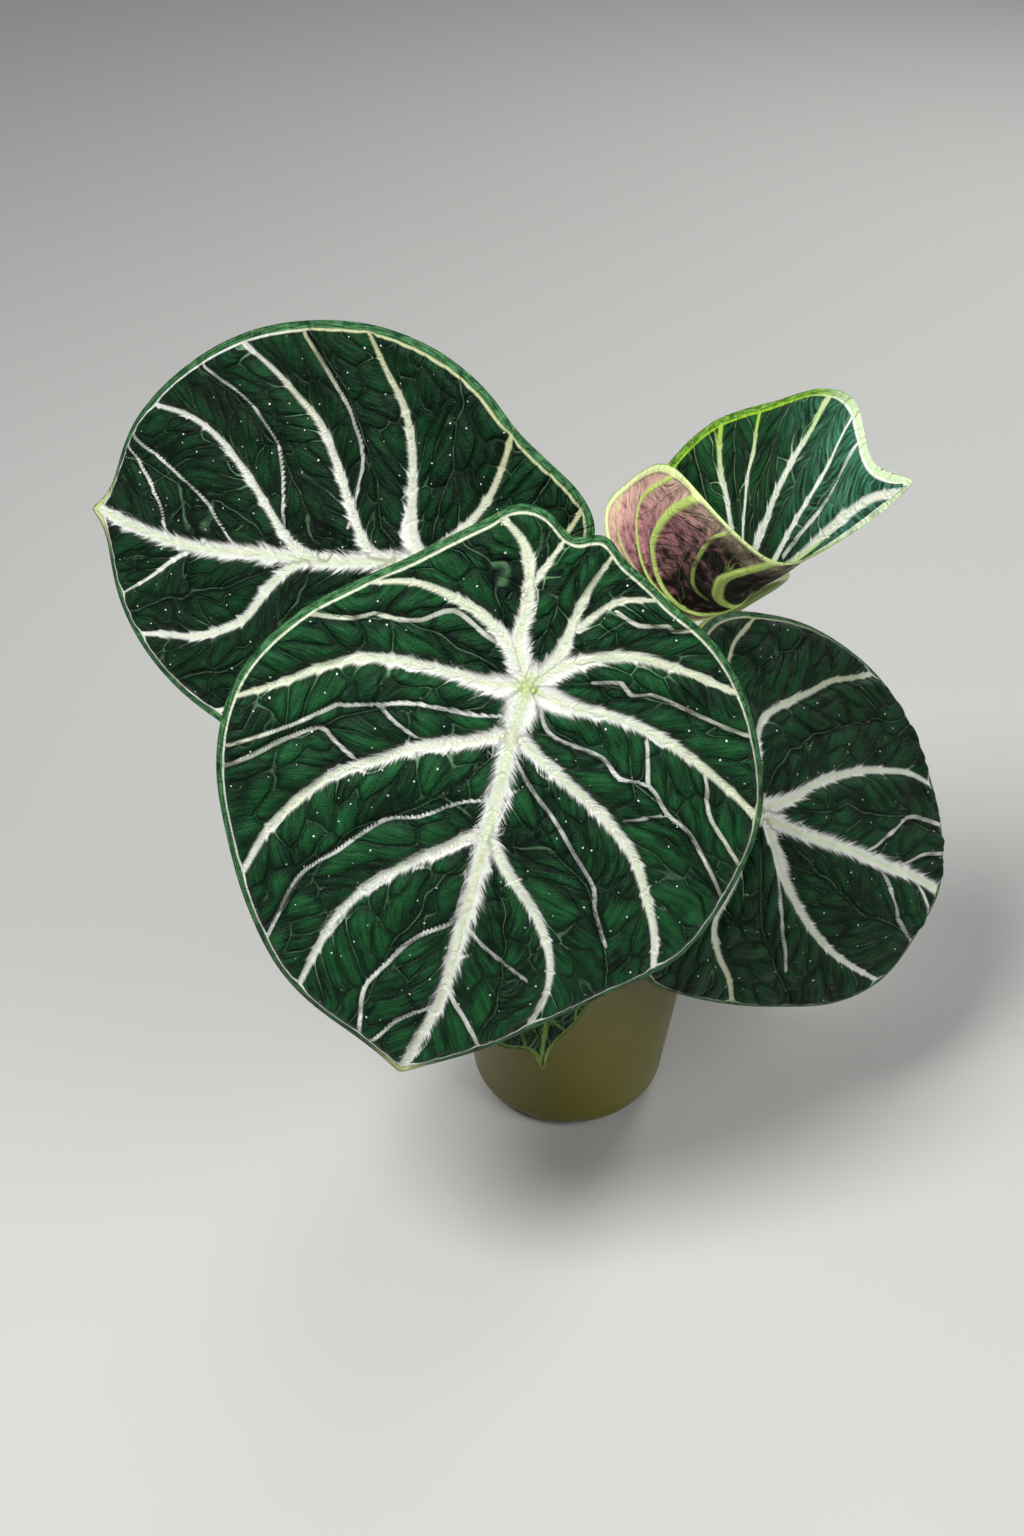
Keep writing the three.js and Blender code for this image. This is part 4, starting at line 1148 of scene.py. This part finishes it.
class ALOCASIA_OT_soil(bpy.types.Operator):
    """Makes the potting soil and the loose crumbs on it"""
    bl_idname = "alocasia.soil"
    bl_label = "Soil"

    def execute(self, context):
        soil = crumb_material("damp_potting_mix", "#120C07", "#4A3524", 0.95, 420)
        open_soil = np.linspace(SOIL_OUTER, SOIL_INNER, 110)
        outline = [*SOIL_WALL, *zip(open_soil, soil_height(open_soil)), *SOIL_HOLLOW]
        points, faces = turned_body(outline, 220)
        radius = np.hypot(points[:, 0], points[:, 1])
        top = smooth_step(70.5, 71.6, points[:, 2]) * smooth_step(13, 15, radius)
        top = top * smooth_step(SOIL_OUTER, 39.5, radius)
        lumps = 0.9 * soft_noise(points[:, 0] / 3.1, points[:, 1] / 3.1, 8, 3)
        points[:, 2] += top * (lumps + 0.5 * soft_noise(points[:, 0] / 9, points[:, 1] / 9, 4))
        make_piece("soil_bed", points, faces, soil, ("potting_soil",))
        chance = np.random.default_rng(12)
        count = context.scene.alocasia_soil.crumbs
        self.crumbs("bark_crumbs", count, (0.7, 2.0), chance,
                    crumb_material("bark_crumb", "#1E140B", "#6B4C30", 0.9, 500))
        self.crumbs("perlite_grains", count // 5, (0.6, 1.3), chance,
                    crumb_material("perlite", "#B9B5A8", "#ECEAE2", 0.85, 700))
        return {"FINISHED"}

    @staticmethod
    def crumbs(name, count, sizes, chance, material):
        """Lumps of twenty faces each: an icosahedron stretched and turned at random, scattered over the
        ring of open soil, evenly by area."""
        golden = (1 + 5**0.5) / 2
        corners = np.array([
            (-1, golden, 0), (1, golden, 0), (-1, -golden, 0), (1, -golden, 0),
            (0, -1, golden), (0, 1, golden), (0, -1, -golden), (0, 1, -golden),
            (golden, 0, -1), (golden, 0, 1), (-golden, 0, -1), (-golden, 0, 1)])
        corners /= np.linalg.norm(corners[0])
        triangles = np.array([
            (0, 11, 5), (0, 5, 1), (0, 1, 7), (0, 7, 10), (0, 10, 11), (1, 5, 9), (5, 11, 4),
            (11, 10, 2), (10, 7, 6), (7, 1, 8), (3, 9, 4), (3, 4, 2), (3, 2, 6), (3, 6, 8),
            (3, 8, 9), (4, 9, 5), (2, 4, 11), (6, 2, 10), (8, 6, 7), (9, 8, 1)])
        near, far = CRUMB_RING
        radius = np.sqrt(chance.uniform(near**2, far**2, count))
        turn = chance.uniform(0, 2 * np.pi, count)
        size = chance.uniform(*sizes, count)[:, None, None] * chance.uniform(0.55, 1.25, (count, 1, 3))
        axes = np.linalg.qr(chance.normal(size=(count, 3, 3)))[0]
        axes *= np.sign(np.linalg.det(axes))[:, None, None]
        place = np.stack([radius * np.cos(turn), radius * np.sin(turn), soil_height(radius)], -1)
        lumps = (corners[None] * size * chance.uniform(0.85, 1.15, (count, 12, 1))) @ axes + place[:, None]
        lumps[..., 2] += CRUMB_RISE
        faces = (triangles[None] + 12 * np.arange(count)[:, None, None]).reshape(-1, 3)
        make_piece(name, lumps.reshape(-1, 3), [faces], material)


class ALOCASIA_OT_pot(bpy.types.Operator):
    """Makes the glazed pot with its drain holes"""
    bl_idname = "alocasia.pot"
    bl_label = "Pot"

    def execute(self, context):
        settings = context.scene.alocasia_pot
        sizes = (settings.height, settings.rim_radius, settings.foot_radius)
        height, rim, foot = (MM_PER_M * size for size in sizes)
        wall, edge, lip = POT_WALL, POT_EDGE, POT_LIP

        def outer(z):
            return foot + (rim - foot) * z / height

        turn = np.linspace(0, np.pi / 2, 14)
        corner = np.stack([outer(edge) - edge * (1 - np.sin(turn)), edge * (1 - np.cos(turn))], -1)
        lift = np.linspace(edge, height - lip, 40)[1:]
        side = np.stack([outer(lift), lift], -1)
        turn = np.linspace(0, np.pi, 13)[1:-1]
        top = np.stack([
            outer(height) - wall / 2 + wall / 2 * np.cos(turn), height - lip + lip * np.sin(turn)], -1)
        inner = [(outer(level) - wall, level) for level in (height - 2, 60, edge)]
        inner_corner = (outer(edge) - wall - POT_CORNER, POT_FLOOR)
        near, far = DRILLED_RING
        outline = np.vstack([
            (0, 0), (near, 0), (far, 0), corner, side, top, inner, inner_corner, (far, POT_FLOOR),
            (near, POT_FLOOR), (0, POT_FLOOR)])
        points, faces = turned_body(outline, 192)
        material = glaze_material(settings)
        pot = make_piece("pot_body", points, faces, material, ("pot",))
        drill = bpy.data.meshes.new("drill")
        cutters, cuts = [], []
        for hole in range(DRAIN_HOLES):
            angle = np.pi / 2 + 2 * np.pi * hole / DRAIN_HOLES
            body, (quads, fans) = turned_body(
                [(0, -3), (DRAIN_RADIUS, -3), (DRAIN_RADIUS, 8), (0, 8)], 40)
            body[:, :2] += DRAIN_CIRCLE * np.array([np.cos(angle), np.sin(angle)])
            cuts += (quads + len(body) * hole).tolist() + (fans + len(body) * hole).tolist()
            cutters.append(body)
        drill.from_pydata((np.vstack(cutters) * MM).tolist(), [], cuts)
        cutter = bpy.data.objects.new("drill", drill)
        bpy.context.collection.objects.link(cutter)
        cut = pot.modifiers.new("holes", "BOOLEAN")
        cut.operation = "DIFFERENCE"
        cut.object = cutter
        cut.solver = "EXACT"
        graph = context.evaluated_depsgraph_get()
        drilled = bpy.data.meshes.new_from_object(pot.evaluated_get(graph))
        pot.modifiers.clear()
        pot.data = drilled
        bpy.data.objects.remove(cutter)
        return {"FINISHED"}


class ALOCASIA_OT_stage(bpy.types.Operator):
    """Makes the floor, the lights and the camera"""
    bl_idname = "alocasia.stage"
    bl_label = "Stage"

    def execute(self, context):
        settings = context.scene.alocasia_stage
        floor = bpy.data.meshes.new("studio_floor")
        half = FLOOR_HALF_SIDE
        corners = [(-half, -half, 0), (half, -half, 0), (half, half, 0), (-half, half, 0)]
        floor.from_pydata(corners, [], [(0, 1, 2, 3)])
        material, tree, shader = new_material("matt_studio_floor", **{"Roughness": 0.9})
        place = add(tree, "TexCoord", out="Object")
        cloud = add(tree, "TexNoise", {0: place, "Scale": 3.0, "Detail": 2.0})
        colour = add(
            tree, "Mix", {0: cloud, 6: solid(settings.floor, 0.97), 7: solid(settings.floor)}, **COLOURS)
        tree.links.new(colour, shader.inputs["Base Color"])
        floor.materials.append(material)
        ground = bpy.data.objects.new("studio_floor", floor)
        bpy.context.collection.objects.link(ground)
        ground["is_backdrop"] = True

        world = bpy.data.worlds.new("studio")
        world.use_nodes = True
        world.node_tree.nodes["Background"].inputs[0].default_value = linear("#C9CCD0")
        world.node_tree.nodes["Background"].inputs[1].default_value = SKY_STRENGTH
        context.scene.world = world
        for name, (place, size, share) in LIGHTS.items():
            light = bpy.data.lights.new(name, "AREA")
            light.shape = "DISK"
            light.size = size
            light.energy = share * settings.key_power
            lamp = bpy.data.objects.new(name, light)
            lamp.location = place
            direction = np.array(LIGHT_AIM) - np.array(place)
            flat = np.hypot(direction[0], direction[1])
            heading = np.arctan2(direction[1], direction[0])
            lamp.rotation_euler = (np.arctan2(flat, -direction[2]), 0, heading - np.pi / 2)
            bpy.context.collection.objects.link(lamp)

        camera = bpy.data.cameras.new("camera")
        camera.lens = CAMERA_LENS
        camera.sensor_fit = "VERTICAL"
        camera.sensor_height = SENSOR_HEIGHT
        eye = bpy.data.objects.new("camera", camera)
        eye.location = CAMERA_PLACE
        eye.rotation_euler = (np.radians(CAMERA_TILT), 0, 0)
        bpy.context.collection.objects.link(eye)
        context.scene.camera = eye
        context.scene.view_settings.view_transform = "Standard"
        return {"FINISHED"}


OPERATORS = (
    ALOCASIA_OT_stage, ALOCASIA_OT_pot, ALOCASIA_OT_soil, ALOCASIA_OT_crown, ALOCASIA_OT_stalks,
    ALOCASIA_OT_mature_leaves, ALOCASIA_OT_young_leaf,
)


class ALOCASIA_PT_panel(bpy.types.Panel):
    """Lists the steps and settings of the potted alocasia"""
    bl_label = "Potted Alocasia"
    bl_idname = "ALOCASIA_PT_panel"
    bl_space_type = "VIEW_3D"
    bl_region_type = "UI"
    bl_category = "Alocasia"

    def draw(self, context):
        scene = context.scene
        for settings in GROUPS:
            group = getattr(scene, settings)
            box = self.layout.box()
            for name in group.__annotations__:
                box.prop(group, name)
        for operator in OPERATORS:
            self.layout.operator(operator.bl_idname)


GROUPS = {
    "alocasia_leaves": LeafSettings,
    "alocasia_stalks": StalkSettings,
    "alocasia_pot": PotSettings,
    "alocasia_soil": SoilSettings,
    "alocasia_stage": StageSettings,
}


def register():
    for group in (*GROUPS.values(), *OPERATORS, ALOCASIA_PT_panel):
        bpy.utils.register_class(group)
    for name, group in GROUPS.items():
        setattr(bpy.types.Scene, name, PointerProperty(type=group))


def unregister():
    for name in GROUPS:
        delattr(bpy.types.Scene, name)
    for group in (ALOCASIA_PT_panel, *reversed(OPERATORS), *reversed(GROUPS.values())):
        bpy.utils.unregister_class(group)


def main():
    register()
    bpy.ops.alocasia.stage()
    bpy.ops.alocasia.pot()
    bpy.ops.alocasia.soil()
    bpy.ops.alocasia.crown()
    bpy.ops.alocasia.stalks()
    bpy.ops.alocasia.mature_leaves()
    bpy.ops.alocasia.young_leaf()
    sizes = {"cad": CAD_BOX, "visual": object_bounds()}
    sizes = {name: np.asarray(box, float).tolist() for name, box in sizes.items()}


if __name__ == "__main__":
    main()
